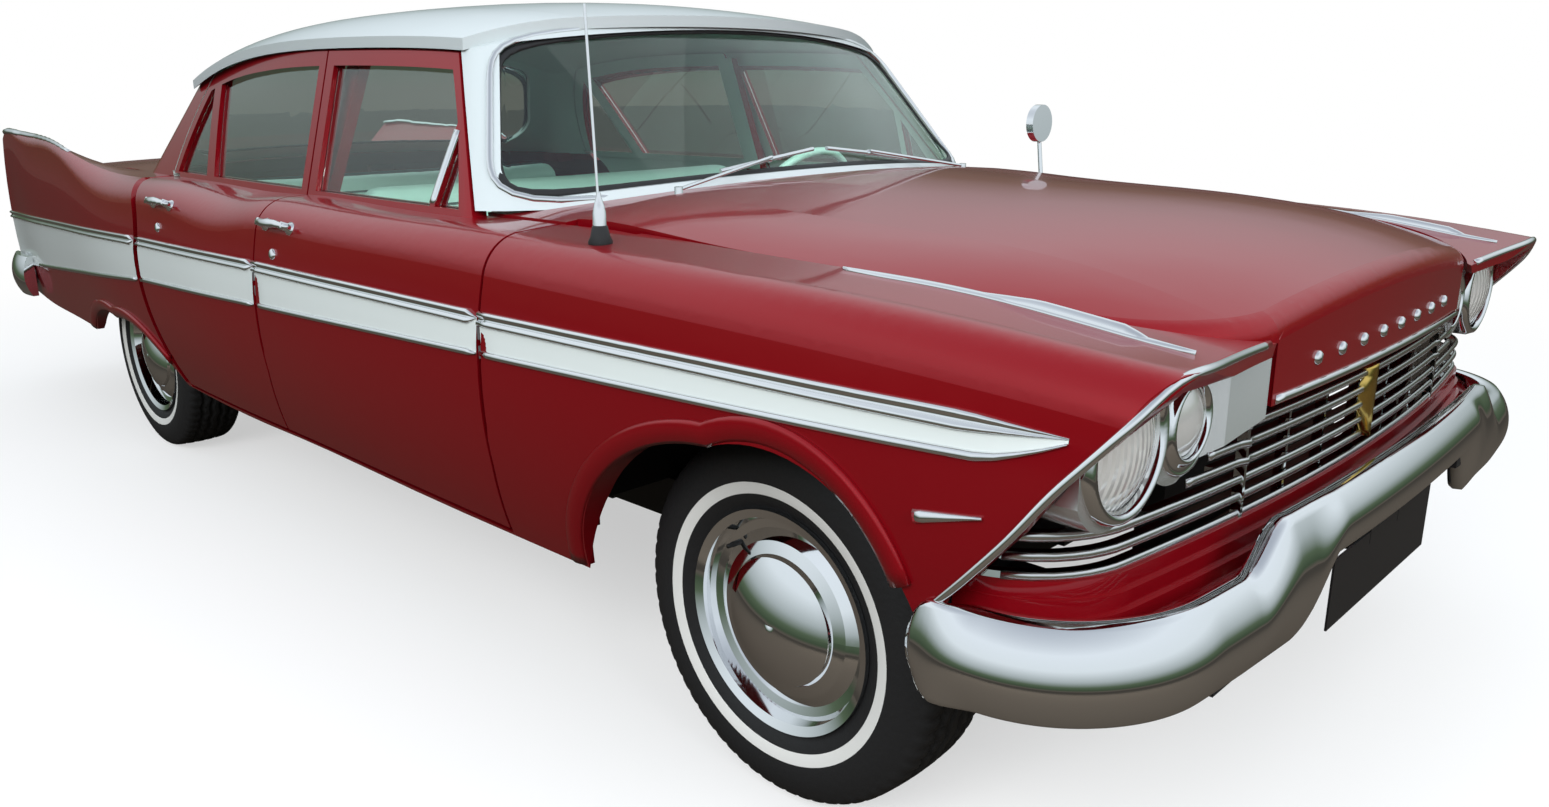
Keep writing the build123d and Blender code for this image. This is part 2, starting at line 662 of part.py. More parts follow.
rail = box(-900, 1330, RAIL_Y0, RAIL_Y1, RAIL_Z0, RAIL_Z1)
rail += box(1240, 2440, 366, 440, RAIL_Z0, RAIL_Z1)
rail += box(1690, 2020, 366, 436, 186, 474)
rail += box(-2400, -800, RAIL_Y0, RAIL_Y1, 430, 500)
rail += box(-900, -800, RAIL_Y0, RAIL_Y1, RAIL_Z0, 500)
rail += box(2400, 2440, 366, 440, RAIL_Z0, 520) + box(2400, 2560, 366, 440, 470, 520)
rail += box(-2580, -2380, RAIL_Y0, RAIL_Y1, 450, 500)
frame = rail + mirrored(rail)
for x0, x1 in ((2200, 2300), (1780, 1930), (1240, 1320), (300, 380), (-880, -800)):
    frame += box(x0, x1, -445, 445, RAIL_Z0 + 10, RAIL_Z1)
frame -= box(-1000, 1420, -SHAFT_BAY_Y, SHAFT_BAY_Y, RAIL_Z0 + 10, RAIL_Z1 + 1)
for x0, x1 in ((1240, 1320), (300, 380), (-880, -800)):
    frame += box(x0, x1, -SHAFT_BAY_Y - 20, SHAFT_BAY_Y + 20, RAIL_Z0 - 10, GEARBOX_Z)
frame += box(-2300, -2220, -445, 445, 430, 500)
JACK_X = (900, -700)
JACK_Y = 475
for x in JACK_X:
    for y in (-JACK_Y, JACK_Y):
        frame += box(x - 60, x + 60, y - 30, y + 30, RAIL_Z0 - 10, RAIL_Z0)
frame = frame - front_bumper - rear_bumper
valance = valance - frame - front_bumper - pair_of(front_fender)
grille = grille - nacelle - mirrored(nacelle)

TUNNEL_R = 150
FLOOR_T = 14
FLOOR_Z = SILL_TOP_Z + FLOOR_T
tunnel_hole = Pos(0, 0, RAIL_Z1) * Rot(0, 90, 0) * Cylinder(TUNNEL_R - 12, 3000)
tunnel_skin = Pos(0, 0, RAIL_Z1) * Rot(0, 90, 0) * Cylinder(TUNNEL_R, 3000)
floor = box(-720, 1180, -868, 868, SILL_TOP_Z, FLOOR_Z) + box(-914, -720, -630, 630, SILL_TOP_Z, FLOOR_Z)
floor += box(1166, 1180, -780, 780, SILL_TOP_Z, 925)
floor += box(-914, -900, -640, 640, SILL_TOP_Z, 915)
floor += tunnel_skin & box(-914, 1180, -200, 200, SILL_TOP_Z, 600)
floor = floor - tunnel_hole - frame
trunk_floor = box(-2510, -914, -640, 640, 500, 514)

engine = box(1420, 2050, -250, 250, RAIL_Z1, 850)
driveline = box(900, 1420, -130, 130, GEARBOX_Z, RAIL_Z1 + 30)
driveline += rod((900, 0, 320), (-985, 0, TYRE_R), 38)
rear_axle = rod((REAR_AXLE_X, -660, TYRE_R), (REAR_AXLE_X, 660, TYRE_R), 44)
rear_axle += Pos(REAR_AXLE_X, 0, TYRE_R) * Sphere(150)
rear_axle += rod((REAR_AXLE_X + 100, 0, TYRE_R), (-985, 0, TYRE_R), 60)
rear_axle += rod((REAR_AXLE_X, 0, TYRE_R), (REAR_AXLE_X, REAR_TRACK_Y + 28, TYRE_R), SPINDLE_R)
rear_axle += rod((REAR_AXLE_X, 0, TYRE_R), (REAR_AXLE_X, -REAR_TRACK_Y - 28, TYRE_R), SPINDLE_R)
for side in (-1, 1):
    rear_axle += rod((REAR_AXLE_X, side * 690, TYRE_R), (REAR_AXLE_X, side * 716, TYRE_R), 120)

SPRING_Y0 = 525
SPRING_Y1 = 585
rear_axle += box(REAR_AXLE_X - 40, REAR_AXLE_X + 40, SPRING_Y0, SPRING_Y1, 272, TYRE_R)
rear_axle += box(REAR_AXLE_X - 40, REAR_AXLE_X + 40, -SPRING_Y1, -SPRING_Y0, 272, TYRE_R)
leaf_face = make_face(
    [
        ThreePointArc((-1740, 312), (REAR_AXLE_X, 272), (-545, 312)),
        Line((-545, 312), (-545, 286)),
        ThreePointArc((-545, 286), (REAR_AXLE_X, 246), (-1740, 286)),
        Line((-1740, 286), (-1740, 312)),
    ]
)
leaf_spring = prism_y(leaf_face, SPRING_Y0, SPRING_Y1)
leaf_spring += box(-580, -520, RAIL_Y1, SPRING_Y1, 280, RAIL_Z1 - 4)
leaf_spring += box(-1765, -1725, RAIL_Y1, SPRING_Y1, 284, 496)
leaf_spring -= rear_axle
driveline -= rear_axle

EXHAUST_Y = -330
EXHAUST_R = 24
EXHAUST_Z = RAIL_Z0 + 10 - EXHAUST_R - RUN_FIT
exhaust = rod((1500, EXHAUST_Y, EXHAUST_Z), (-2470, EXHAUST_Y, EXHAUST_Z), EXHAUST_R)
exhaust += rod((1500, EXHAUST_Y, EXHAUST_Z), (1500, -230, RAIL_Z1 + 40), EXHAUST_R)
exhaust += rod((-320, EXHAUST_Y, EXHAUST_Z), (270, EXHAUST_Y, EXHAUST_Z), 72)
exhaust -= engine
fuel_tank = box(-2190, -1660, -420, 420, 320, 500)

# Cabin
def bench(x_front, x_back, y_half, z_seat, z_top, lean):
    cushion_side = polygon((x_front, 430), (x_front, z_seat), (x_back + 120, z_seat - 30), (x_back + 120, 430))
    cushion = prism_y(cushion_side, -y_half, y_half)
    back = prism_y(
        polygon(
            (x_back + 140, 430), (x_back + 130 - lean, z_top), (x_back + 10 - lean, z_top), (x_back, 430)
        ),
        -y_half,
        y_half,
    )
    plinth = box(x_back + 40, x_front - 60, -y_half + 60, y_half - 60, FLOOR_Z, 440)
    return (cushion + back + plinth) - tunnel_skin


front_seat = bench(700, 150, 690, 610, 985, 70)
rear_seat = bench(-330, -860, 636, 600, 950, 0) - frame
dash = prism_y(
    make_face(
        [
            Polyline((1166, 700), (1166, 925), (1060, 925)),
            ThreePointArc((1060, 925), (1000, 905), (985, 840)),
            Polyline((985, 840), (1020, 700), (1166, 700)),
        ]
    ),
    -770,
    770,
)
dash -= cowl
COLUMN_Y = 370
COLUMN_FOOT = (1166, COLUMN_Y, 640)
COLUMN_TOP = (778, COLUMN_Y, 838)
column_axis = Vector(*COLUMN_TOP) - Vector(*COLUMN_FOOT)
column_axis = column_axis.normalized()
column = rod(COLUMN_FOOT, COLUMN_TOP, 24)
shaft_end = Vector(*COLUMN_TOP) + column_axis * 40
column += rod(COLUMN_TOP, tuple(shaft_end), 12)
column -= box(1166, 1300, 200, 500, 500, 800)
dash -= column
wheel_plane = Plane(origin=tuple(Vector(*COLUMN_TOP) + column_axis), x_dir=(0, 1, 0), z_dir=column_axis)
steering_wheel = wheel_plane * (Pos(0, 0, 22) * Cylinder(40, 44) - Pos(0, 0, 20) * Cylinder(12 + RUN_FIT, 41))
steering_wheel += wheel_plane * (Pos(0, 0, 20) * Torus(205, 11))
for angle in (0, 120, 240):
    steering_wheel += wheel_plane * (Rot(0, 0, angle + 90) * Pos(120, 0, 20) * Box(170, 16, 8))

pillar_low = box(1230, 1300, 800, 900, SILL_TOP_Z, 925)
pillar_low -= front_fender
b_post = prism_x(
    polygon((800, FLOOR_Z), (800, 940), (660, 1300), (632, 1300), (770, 930), (770, FLOOR_Z)), 150, 220
) - above_roof
posts = Compound(children=[pillar_low, b_post])

PIN_R = GAP / 2 - 2 * RUN_FIT
HOOD_PIN = (1306, 1006)
TRUNK_PIN = (-1386, 960)
pins = []
for x, y in ((FRONT_DOOR_X, HINGE_F_Y), (B_POST_X, HINGE_R_Y)):
    for z in (715, 752):
        for side in (-1, 1):
            pins.append(rod((x, side * y, z), (x, side * y, z + 24), PIN_R))
for x, z in (HOOD_PIN, TRUNK_PIN):
    pins.append(rod((x, -40, z), (x, 40, z), PIN_R))
hinge_pins = Compound(children=pins)

antenna = rod((1446, -880, 940), (1446, -880, 990), 9) + rod((1446, -880, 980), (1436, -885, 1345), 2.5)
antenna -= mirrored(front_fender)
mirror_stem = rod((1290, 850, 930), (1275, 845, 1085), 6)
mirror_head = Pos(1275, 845, 1105) * Rot(0, 90, 0) * Cylinder(52, 22)
side_mirror = (mirror_stem + mirror_head) - front_fender

WIPER_PIVOT = (1245, 515)
BLADE_IN = (1182, 25, 1063)
BLADE_MID = (1187, 180, 1046)
BLADE_OUT = (1178, 330, 1026)
wiper = rod((*WIPER_PIVOT, 960), (*WIPER_PIVOT, 1006), 9) - cowl
wiper += rod((*WIPER_PIVOT, 1000), (BLADE_MID[0] + 6, BLADE_MID[1], BLADE_MID[2] + 5), 4)
wiper += rod(BLADE_IN, BLADE_MID, 5) + rod(BLADE_MID, BLADE_OUT, 5) + Pos(*BLADE_MID) * Sphere(8)


def group(*shapes):
    return Compound(children=[solid for shape in shapes for solid in shape.solids()])


def pair(shape):
    return group(shape, mirrored(shape))


wheel_front = at_wheel(rim, FRONT_AXLE_X, FRONT_TRACK_Y)
wheel_rear = at_wheel(rim, REAR_AXLE_X, REAR_TRACK_Y)
tyre_front = at_wheel(tyre, FRONT_AXLE_X, FRONT_TRACK_Y)
tyre_rear = at_wheel(tyre, REAR_AXLE_X, REAR_TRACK_Y)
NODES = dict(
    frame=frame,
    floor_pan=group(floor, trunk_floor),
    engine=engine,
    driveline=driveline,
    rear_axle=rear_axle,
    suspension=group(pair(leaf_spring), pair(lower_arm), pair(upper_arm)),
    exhaust=exhaust,
    fuel_tank=fuel_tank,
    radiator=radiator,
    rockers=pair(rocker),
    cowl=cowl,
    deck_panel=deck,
    pillars=group(pillars, pair(posts)),
    roof=roof,
    body_glass=group(windshield, backlight),
    front_fenders=pair(front_fender),
    rear_quarters=pair(quarter),
    tail_panel=tail_panel,
    lamp_nacelles=pair(nacelle),
    front_lamps=group(pair(head_lens), pair(park_lens)),
    tail_lamps=pair(tail_lamp),
    grille=grille,
    front_valance=valance,
    front_bumper=front_bumper,
    rear_bumper=rear_bumper,
    plate_holder=plate,
    hinge_pins=hinge_pins,
    antenna=antenna,
    side_mirror=side_mirror,
    wipers=pair(wiper),
    dash=dash,
    steering_column=column,
    front_seat=front_seat,
    rear_seat=rear_seat,
    steering_wheel=steering_wheel,
    hood=hood,
    trunk_lid=trunk,
    front_door_l=front_door,
    front_door_r=mirrored(front_door),
    rear_door_l=rear_door,
    rear_door_r=mirrored(rear_door),
    front_glass_l=front_door_glass,
    front_glass_r=mirrored(front_door_glass),
    rear_glass_l=rear_door_glass,
    rear_glass_r=mirrored(rear_door_glass),
    knuckle_l=knuckle,
    knuckle_r=mirrored(knuckle),
    wheel_fl=wheel_front,
    wheel_fr=mirrored(wheel_front),
    wheel_rl=wheel_rear,
    wheel_rr=mirrored(wheel_rear),
    tyre_fl=tyre_front,
    tyre_fr=mirrored(tyre_front),
    tyre_rl=tyre_rear,
    tyre_rr=mirrored(tyre_rear),
)
for name, shape in NODES.items():
    export_step(shape, "parts/" + name + ".step")
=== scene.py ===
import bpy
import bmesh
from math import atan2, cos, hypot, pi, radians, sin
from mathutils import Matrix, Vector
from mathutils.bvhtree import BVHTree


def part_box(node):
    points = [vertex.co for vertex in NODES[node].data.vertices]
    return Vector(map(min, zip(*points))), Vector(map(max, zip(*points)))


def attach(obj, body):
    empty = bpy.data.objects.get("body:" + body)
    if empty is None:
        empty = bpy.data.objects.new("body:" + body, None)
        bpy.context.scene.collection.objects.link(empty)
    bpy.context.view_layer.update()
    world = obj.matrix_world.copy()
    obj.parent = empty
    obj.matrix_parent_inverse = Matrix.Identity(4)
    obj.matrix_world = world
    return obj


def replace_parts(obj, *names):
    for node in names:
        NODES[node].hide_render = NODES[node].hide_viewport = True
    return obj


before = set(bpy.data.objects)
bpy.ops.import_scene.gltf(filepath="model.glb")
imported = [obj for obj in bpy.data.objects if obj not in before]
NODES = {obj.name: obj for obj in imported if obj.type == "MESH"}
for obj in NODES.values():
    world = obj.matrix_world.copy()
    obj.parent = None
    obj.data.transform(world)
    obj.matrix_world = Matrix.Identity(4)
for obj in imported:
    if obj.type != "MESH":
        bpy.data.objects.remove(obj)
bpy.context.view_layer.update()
scene = bpy.context.scene
scene.view_settings.view_transform = "Standard"
X, Y, Z = Vector((1, 0, 0)), Vector((0, 1, 0)), Vector((0, 0, 1))
SIDES = ((-1, "r", "right"), (1, "l", "left"))

# Camera for a picture of 1549 by 807
PICTURE_W = 1549
FOCAL_PX = 1152.06
SENSOR_MM = 36
CAMERA_PLACE = (3.0962, -2.1448, 1.2073)
AZIMUTH = radians(43.985)
PITCH = radians(15.348)
ROLL = radians(0.198)
camera_data = bpy.data.cameras.new("camera")
camera_data.sensor_width = SENSOR_MM
camera_data.lens = SENSOR_MM * FOCAL_PX / PICTURE_W
camera = bpy.data.objects.new("camera", camera_data)
scene.collection.objects.link(camera)
forward = Vector((-sin(AZIMUTH) * cos(PITCH), cos(AZIMUTH) * cos(PITCH), -sin(PITCH)))
right = forward.cross(Z).normalized()
down = forward.cross(right)
across = cos(ROLL) * right + sin(ROLL) * down
upward = sin(ROLL) * right - cos(ROLL) * down
turn = Matrix((across, upward, -forward)).transposed().to_4x4()
camera.matrix_world = Matrix.Translation(CAMERA_PLACE) @ turn
scene.camera = camera

# Materials
COAT_ROUGHNESS = 0.03
RELIEF_DEPTH = 0.004


def material(name, color, metallic=0.0, roughness=0.5, coat=0.0, **inputs):
    mat = bpy.data.materials.new(name)
    mat.use_nodes = True
    shader = mat.node_tree.nodes["Principled BSDF"]
    shader.inputs["Base Color"].default_value = (*color, 1)
    shader.inputs["Metallic"].default_value = metallic
    shader.inputs["Roughness"].default_value = roughness
    shader.inputs["Coat Weight"].default_value = coat
    shader.inputs["Coat Roughness"].default_value = COAT_ROUGHNESS
    for key, value in inputs.items():
        shader.inputs[key.replace("_", " ")].default_value = value
    return mat


def bump(mat, kind, scale, strength, **settings):
    """Adds a procedural relief to a material: a wave or a noise texture in object space."""
    tree = mat.node_tree
    place = tree.nodes.new("ShaderNodeTexCoord")
    texture = tree.nodes.new(kind)
    texture.inputs["Scale"].default_value = scale
    for key, value in settings.items():
        setattr(texture, key, value)
    relief = tree.nodes.new("ShaderNodeBump")
    relief.inputs["Strength"].default_value = strength
    relief.inputs["Distance"].default_value = RELIEF_DEPTH
    tree.links.new(place.outputs["Object"], texture.inputs["Vector"])
    tree.links.new(texture.outputs["Fac"], relief.inputs["Height"])
    tree.links.new(relief.outputs["Normal"], tree.nodes["Principled BSDF"].inputs["Normal"])
    return mat


def thin_glass(name, tint):
    """Glass that reflects and lets light pass without dark shadows behind it."""
    mat = material(name, tint, 0.0, 0.0, 0.0, Transmission_Weight=1.0, IOR=1.45)
    tree = mat.node_tree
    clear = tree.nodes.new("ShaderNodeBsdfTransparent")
    clear.inputs[0].default_value = (*tint, 1)
    paths = tree.nodes.new("ShaderNodeLightPath")
    either = tree.nodes.new("ShaderNodeMath")
    either.operation = "MAXIMUM"
    mix = tree.nodes.new("ShaderNodeMixShader")
    tree.links.new(paths.outputs["Is Shadow Ray"], either.inputs[0])
    tree.links.new(paths.outputs["Is Diffuse Ray"], either.inputs[1])
    tree.links.new(either.outputs[0], mix.inputs[0])
    tree.links.new(tree.nodes["Principled BSDF"].outputs[0], mix.inputs[1])
    tree.links.new(clear.outputs[0], mix.inputs[2])
    tree.links.new(mix.outputs[0], tree.nodes["Material Output"].inputs[0])
    return mat


def lifted(mat, amount):
    """Bends the shading normal up a little, so that bright metal mirrors more of the sky."""
    tree = mat.node_tree
    surface = tree.nodes.new("ShaderNodeNewGeometry")
    raised = tree.nodes.new("ShaderNodeVectorMath")
    raised.inputs[1].default_value = (0, 0, amount)
    unit = tree.nodes.new("ShaderNodeVectorMath")
    unit.operation = "NORMALIZE"
    tree.links.new(surface.outputs["Normal"], raised.inputs[0])
    tree.links.new(raised.outputs[0], unit.inputs[0])
    tree.links.new(unit.outputs[0], tree.nodes["Principled BSDF"].inputs["Normal"])
    return mat


RED = material("red paint", (0.255, 0.003, 0.008), 0.4, 0.30, 0.7, Specular_IOR_Level=0.05)
WHITE = material("white paint", (0.70, 0.76, 0.755), 0.0, 0.3, 0.6)
# The roof's white is the side band's white paint made darker: painted shade that offsets the stronger light
# on the roof, also used on the A-pillars.
ROOF_WHITE_SHADED = material("roof paint", (0.52, 0.58, 0.60), 0.0, 0.3, 0.6)
CHROME = lifted(material("chrome", (0.83, 0.84, 0.85), 1.0, 0.05), 0.3)
SILVER = lifted(material("silver", (0.72, 0.71, 0.71), 0.85, 0.24, 0.3), 0.35)
BLACK = material("black plastic", (0.012, 0.012, 0.013), 0.0, 0.45)
STEEL = material("black steel", (0.02, 0.02, 0.022), 0.2, 0.55)
GREY = material("grey iron", (0.2, 0.2, 0.21), 0.6, 0.5)
RUBBER = bump(material("tyre rubber", (0.014, 0.014, 0.015), 0.0, 0.6), "ShaderNodeTexNoise", 90, 0.25)
WHITEWALL = material("whitewall", (0.72, 0.72, 0.70), 0.0, 0.6)
VINYL = bump(material("pale vinyl", (0.62, 0.80, 0.75), 0.0, 0.42), "ShaderNodeTexNoise", 160, 0.15)
PIPING = material("dark piping", (0.03, 0.05, 0.045), 0.0, 0.5)
GLASS = thin_glass("glass", (0.87, 0.985, 0.935))
HEADLAMP = bump(
    material("headlamp glass", (0.92, 0.92, 0.90), 0.35, 0.09, 1.0), "ShaderNodeTexWave", 26, 0.7,
    bands_direction="Y", wave_profile="TRI",
)
PARKING = material("parking lamp glass", (0.85, 0.86, 0.85), 0.45, 0.12, 1.0)
RED_LENS = material("red lens", (0.45, 0.01, 0.01), 0.0, 0.1, 0.8)
BRIGHT = material("bright metal", (0.78, 0.78, 0.78), 1.0, 0.24)
GOLD = material("gold", (0.72, 0.50, 0.14), 1.0, 0.22)
CABIN = material("cabin trim", (0.45, 0.52, 0.49), 0.0, 0.6)
CARPET = bump(material("carpet", (0.05, 0.05, 0.05), 0.0, 0.9), "ShaderNodeTexNoise", 300, 0.6)

PAINTED = {
    RED: "rockers cowl deck_panel pillars front_fenders rear_quarters tail_panel front_valance hood "
    "trunk_lid front_door_l front_door_r rear_door_l rear_door_r dash",
    ROOF_WHITE_SHADED: "roof",
    CHROME: "grille front_bumper rear_bumper antenna side_mirror wipers wheel_fl wheel_fr wheel_rl wheel_rr",
    SILVER: "lamp_nacelles",
    STEEL: "frame rear_axle suspension fuel_tank radiator knuckle_l knuckle_r steering_column floor_pan",
    GREY: "engine driveline exhaust hinge_pins",
    BLACK: "plate_holder",
    VINYL: "front_seat rear_seat steering_wheel",
    GLASS: "body_glass front_glass_l front_glass_r rear_glass_l rear_glass_r",
    HEADLAMP: "front_lamps",
    RED_LENS: "tail_lamps",
    RUBBER: "tyre_fl tyre_fr tyre_rl tyre_rr",
}
for paint, names in PAINTED.items():
    for name in names.split():
        mesh = NODES[name].data
        mesh.materials.clear()
        mesh.materials.append(paint)


def paint_where(name, paint, test):
    """Gives another material to the faces of a node whose centre and normal pass a test."""
    mesh = NODES[name].data
    mesh.materials.append(paint)
    index = len(mesh.materials) - 1
    for face in mesh.polygons:
        if test(face.center, face.normal):
            face.material_index = index


BELT_Z = 0.94
WINDSHIELD_X = 0.64
CABIN_MIDDLE_X = 0.1
# The A-pillars above the belt take the roof's darkened white, painted shade as on the roof.
paint_where("pillars", ROOF_WHITE_SHADED, lambda c, n: c.x > WINDSHIELD_X and c.z > BELT_Z)
paint_where(
    "pillars", CABIN, lambda c, n: c.z > BELT_Z and n.dot(Vector((c.x - CABIN_MIDDLE_X, c.y, 0))) < -0.1,
)
paint_where("roof", CABIN, lambda c, n: n.z < -0.4)
paint_where("floor_pan", CARPET, lambda c, n: n.z > 0.3 or (n.x < -0.5 and c.x > 1))
paint_where("front_lamps", PARKING, lambda c, n: abs(c.y) < 0.7)
for side, letter, _ in SIDES:
    for name in ("front_door_" + letter, "rear_door_" + letter):
        paint_where(name, CABIN, lambda c, n: n.y * side < -0.5)


# Helpers for meshes and for pieces laid on a surface
def tree_of(*names):
    """A search tree over the faces of some nodes."""
    points, polygons = [], []
    for name in names:
        start = len(points)
        mesh = NODES[name].data
        points += [vertex.co.copy() for vertex in mesh.vertices]
        polygons += [[start + index for index in face.vertices] for face in mesh.polygons]
    return BVHTree.FromPolygons(points, polygons)


def cast(tree, start, direction, reach=3.0):
    """The first point hit and its normal, turned to face the start."""
    hit, normal, _, _ = tree.ray_cast(Vector(start), direction, reach)
    if hit is None:
        return None
    return hit, (normal if normal.dot(direction) < 0 else -normal)


def from_side(tree, x, z, side):
    """The point of a side wall at a length and a height, with its normal."""
    return cast(tree, (x, side * 1.4, z), -side * Y, 0.9)


def table(rows, x):
    """The value at x, along straight lines between the rows."""
    if x <= rows[0][0]:
        return rows[0][1]
    for (x0, z0), (x1, z1) in zip(rows, rows[1:]):
        if x <= x1:
            return z0 + (z1 - z0) * (x - x0) / (x1 - x0)
    return rows[-1][1]


def spread(a, b, count):
    return [a + (b - a) * k / (count - 1) for k in range(count)]


def arc3(a, b, c, count):
    """Points of the flat arc from a over b to c."""
    (ax, ay), (bx, by), (cx, cy) = a, b, c
    d = 2 * (ax * (by - cy) + bx * (cy - ay) + cx * (ay - by))
    a2, b2, c2 = ax * ax + ay * ay, bx * bx + by * by, cx * cx + cy * cy
    ux = (a2 * (by - cy) + b2 * (cy - ay) + c2 * (ay - by)) / d
    uy = (a2 * (cx - bx) + b2 * (ax - cx) + c2 * (bx - ax)) / d
    r = hypot(ax - ux, ay - uy)
    t0, t1, t2 = (atan2(py - uy, px - ux) for px, py in (a, b, c))
    sweep = (t2 - t0) % (2 * pi)
    if (t1 - t0) % (2 * pi) > sweep:
        sweep -= 2 * pi
    return [(ux + r * cos(t), uy + r * sin(t)) for t in spread(t0, t0 + sweep, count)]


def grid(rows, columns, round_rows=False, round_columns=False):
    """The four-cornered faces of a grid of points, which may close on itself either way."""
    faces = []
    for r in range(rows if round_rows else rows - 1):
        a, b = r * columns, (r + 1) % rows * columns
        for k in range(columns if round_columns else columns - 1):
            m = (k + 1) % columns
            faces.append((a + k, a + m, b + m, b + k))
    return faces


def end_caps(rows, columns):
    """The faces that close the first and the last row of a grid."""
    count = rows * columns
    return [tuple(range(columns)), tuple(range(count - columns, count))]


def add_mesh(name, points, faces, mats, body, picks=None, smooth=True):
    mesh = bpy.data.meshes.new(name)
    mesh.from_pydata([tuple(point) for point in points], [], faces)
    for mat in mats if isinstance(mats, (list, tuple)) else [mats]:
        mesh.materials.append(mat)
    for index, face in enumerate(mesh.polygons):
        face.use_smooth = smooth
        if picks:
            face.material_index = picks[index]
    bm = bmesh.new()
    bm.from_mesh(mesh)
    bmesh.ops.recalc_face_normals(bm, faces=bm.faces)
    bm.to_mesh(mesh)
    bm.free()
    obj = bpy.data.objects.new(name, mesh)
    scene.collection.objects.link(obj)
    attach(obj, body)
    return obj


# Sections of mouldings, as shares of the width and the height
HALF_ROUND = [(-0.5, -0.3), (-0.5, 0.35), (-0.32, 0.85), (0, 1), (0.32, 0.85), (0.5, 0.35), (0.5, -0.3)]
TWO_RIDGES = [
    (-0.5, -0.3), (-0.5, 0.5), (-0.4, 0.95), (-0.22, 0.95), (-0.08, 0.4),
    (0.08, 0.4), (0.22, 0.95), (0.4, 0.95), (0.5, 0.5), (0.5, -0.3),
]
FLARE = [(-0.5, -0.05), (-0.35, 0.35), (-0.15, 0.75), (0.1, 1), (0.35, 0.95), (0.5, 0.7), (0.5, -0.3)]
ROUND = [(0.5 * cos(2 * pi * k / 10), sin(2 * pi * k / 10)) for k in range(10)]


def strip(name, path, width, height, mat, body, profile=HALF_ROUND, closed=False):
    """A moulding along (point, outward normal) pairs; width and height may run along it."""
    path = [item for item in path if item]
    if len(path) < 2:
        return None
    points = []
    last = len(path) - 1
    for index, (point, normal) in enumerate(path):
        ahead = path[(index + 1) % len(path) if closed else min(index + 1, last)][0]
        behind = path[index - 1 if closed else max(index - 1, 0)][0]
        side = normal.cross((ahead - behind).normalized()).normalized()
        share = index / last
        w = width(share) if callable(width) else width
        h = height(share) if callable(height) else height
        points += [point + side * (u * w) + normal * (v * h) for u, v in profile]
    faces = grid(len(path), len(profile), closed, True)
    if not closed:
        faces += end_caps(len(path), len(profile))
    return add_mesh(name, points, faces, mat, body)


def lathe(name, place, axis, profile, mat, body, count=40):
    """A turned piece: (radius, height) pairs about an axis."""
    u = axis.orthogonal().normalized()
    v = axis.cross(u)
    place = Vector(place)
    points = [
        place + axis * h + (u * cos(2 * pi * k / count) + v * sin(2 * pi * k / count)) * r
        for r, h in profile for k in range(count)
    ]
    return add_mesh(name, points, grid(len(profile), count, False, True), mat, body)


# Side band and its mouldings
BAND_TOP = [
    (-2.52, 0.711), (-0.6, 0.775), (0.23, 0.788), (1.25, 0.792),
    (1.823, 0.798), (2.21, 0.800), (2.44, 0.800),
]
BAND_LOW = [
    (-2.52, 0.511), (-0.6, 0.663), (0.22, 0.693), (1.24, 0.726),
    (1.945, 0.747), (2.33, 0.758), (2.394, 0.777), (2.44, 0.796),
]
SIDE_PANELS = [
    (node, body, side, x0, x1)
    for side, letter, word in SIDES
    for node, body, x0, x1 in (
        ("front_fenders", "body", 1.2, 2.436),
        ("front_door_" + letter, "front_door_" + word, 0.15, 1.3),
        ("rear_door_" + letter, "rear_door_" + word, -0.75, 0.3),
        ("rear_quarters", "body", -2.535, -0.5),
    )
]
BAND_ROWS = 9
BAND_STEP = 0.03
BAND_LIFT = 0.0012
PROBE_STEP = 0.002
EDGE_GAP = 0.001
FENDER_TAPER = 8
NO_TAPER = 1e6


def row_on(tree, side, x0, x1, share):
    """Points along the band at a share of its height, as far as the panel goes."""
    def probe(x):
        low, high = table(BAND_LOW, x), table(BAND_TOP, x)
        hit = from_side(tree, x, low + (high - low) * share, side)
        return hit if hit and abs(hit[0].y) > 0.8 and abs(hit[1].y) > 0.6 else None

    xs = [x0 + PROBE_STEP * k for k in range(int((x1 - x0) / PROBE_STEP) + 1)]
    good = [x for x in xs if probe(x)]
    start, end = good[0] + EDGE_GAP, good[-1] - EDGE_GAP
    count = max(2, int((end - start) / BAND_STEP))
    return [probe(x) for x in spread(start, end, count + 1) if probe(x)]


for node, body, side, x0, x1 in SIDE_PANELS:
    tree = tree_of(node)
    tag = f"{node}_{'l' if side > 0 else 'r'}" if node.endswith("s") else node
    rows = [row_on(tree, side, x0, x1, k / (BAND_ROWS - 1)) for k in range(BAND_ROWS)]
    columns = min(len(row) for row in rows)
    points = []
    for row in rows:
        picks = [row[round(k * (len(row) - 1) / (columns - 1))] for k in range(columns)]
        points += [point + normal * BAND_LIFT for point, normal in picks]
    add_mesh("band_" + tag, points, grid(BAND_ROWS, columns), WHITE, body)
    ends = FENDER_TAPER if node == "front_fenders" else NO_TAPER
    strip(
        "moulding_top_" + tag, rows[-1], lambda t: 0.028 * min(1, 0.08 + (1 - t) * ends),
        lambda t: 0.010 * min(1, 0.3 + (1 - t) * ends), CHROME, body, TWO_RIDGES,
    )
    strip(
        "moulding_low_" + tag, rows[0], lambda t: 0.014 * min(1, 0.2 + (1 - t) * ends), 0.007,
        CHROME, body,
    )

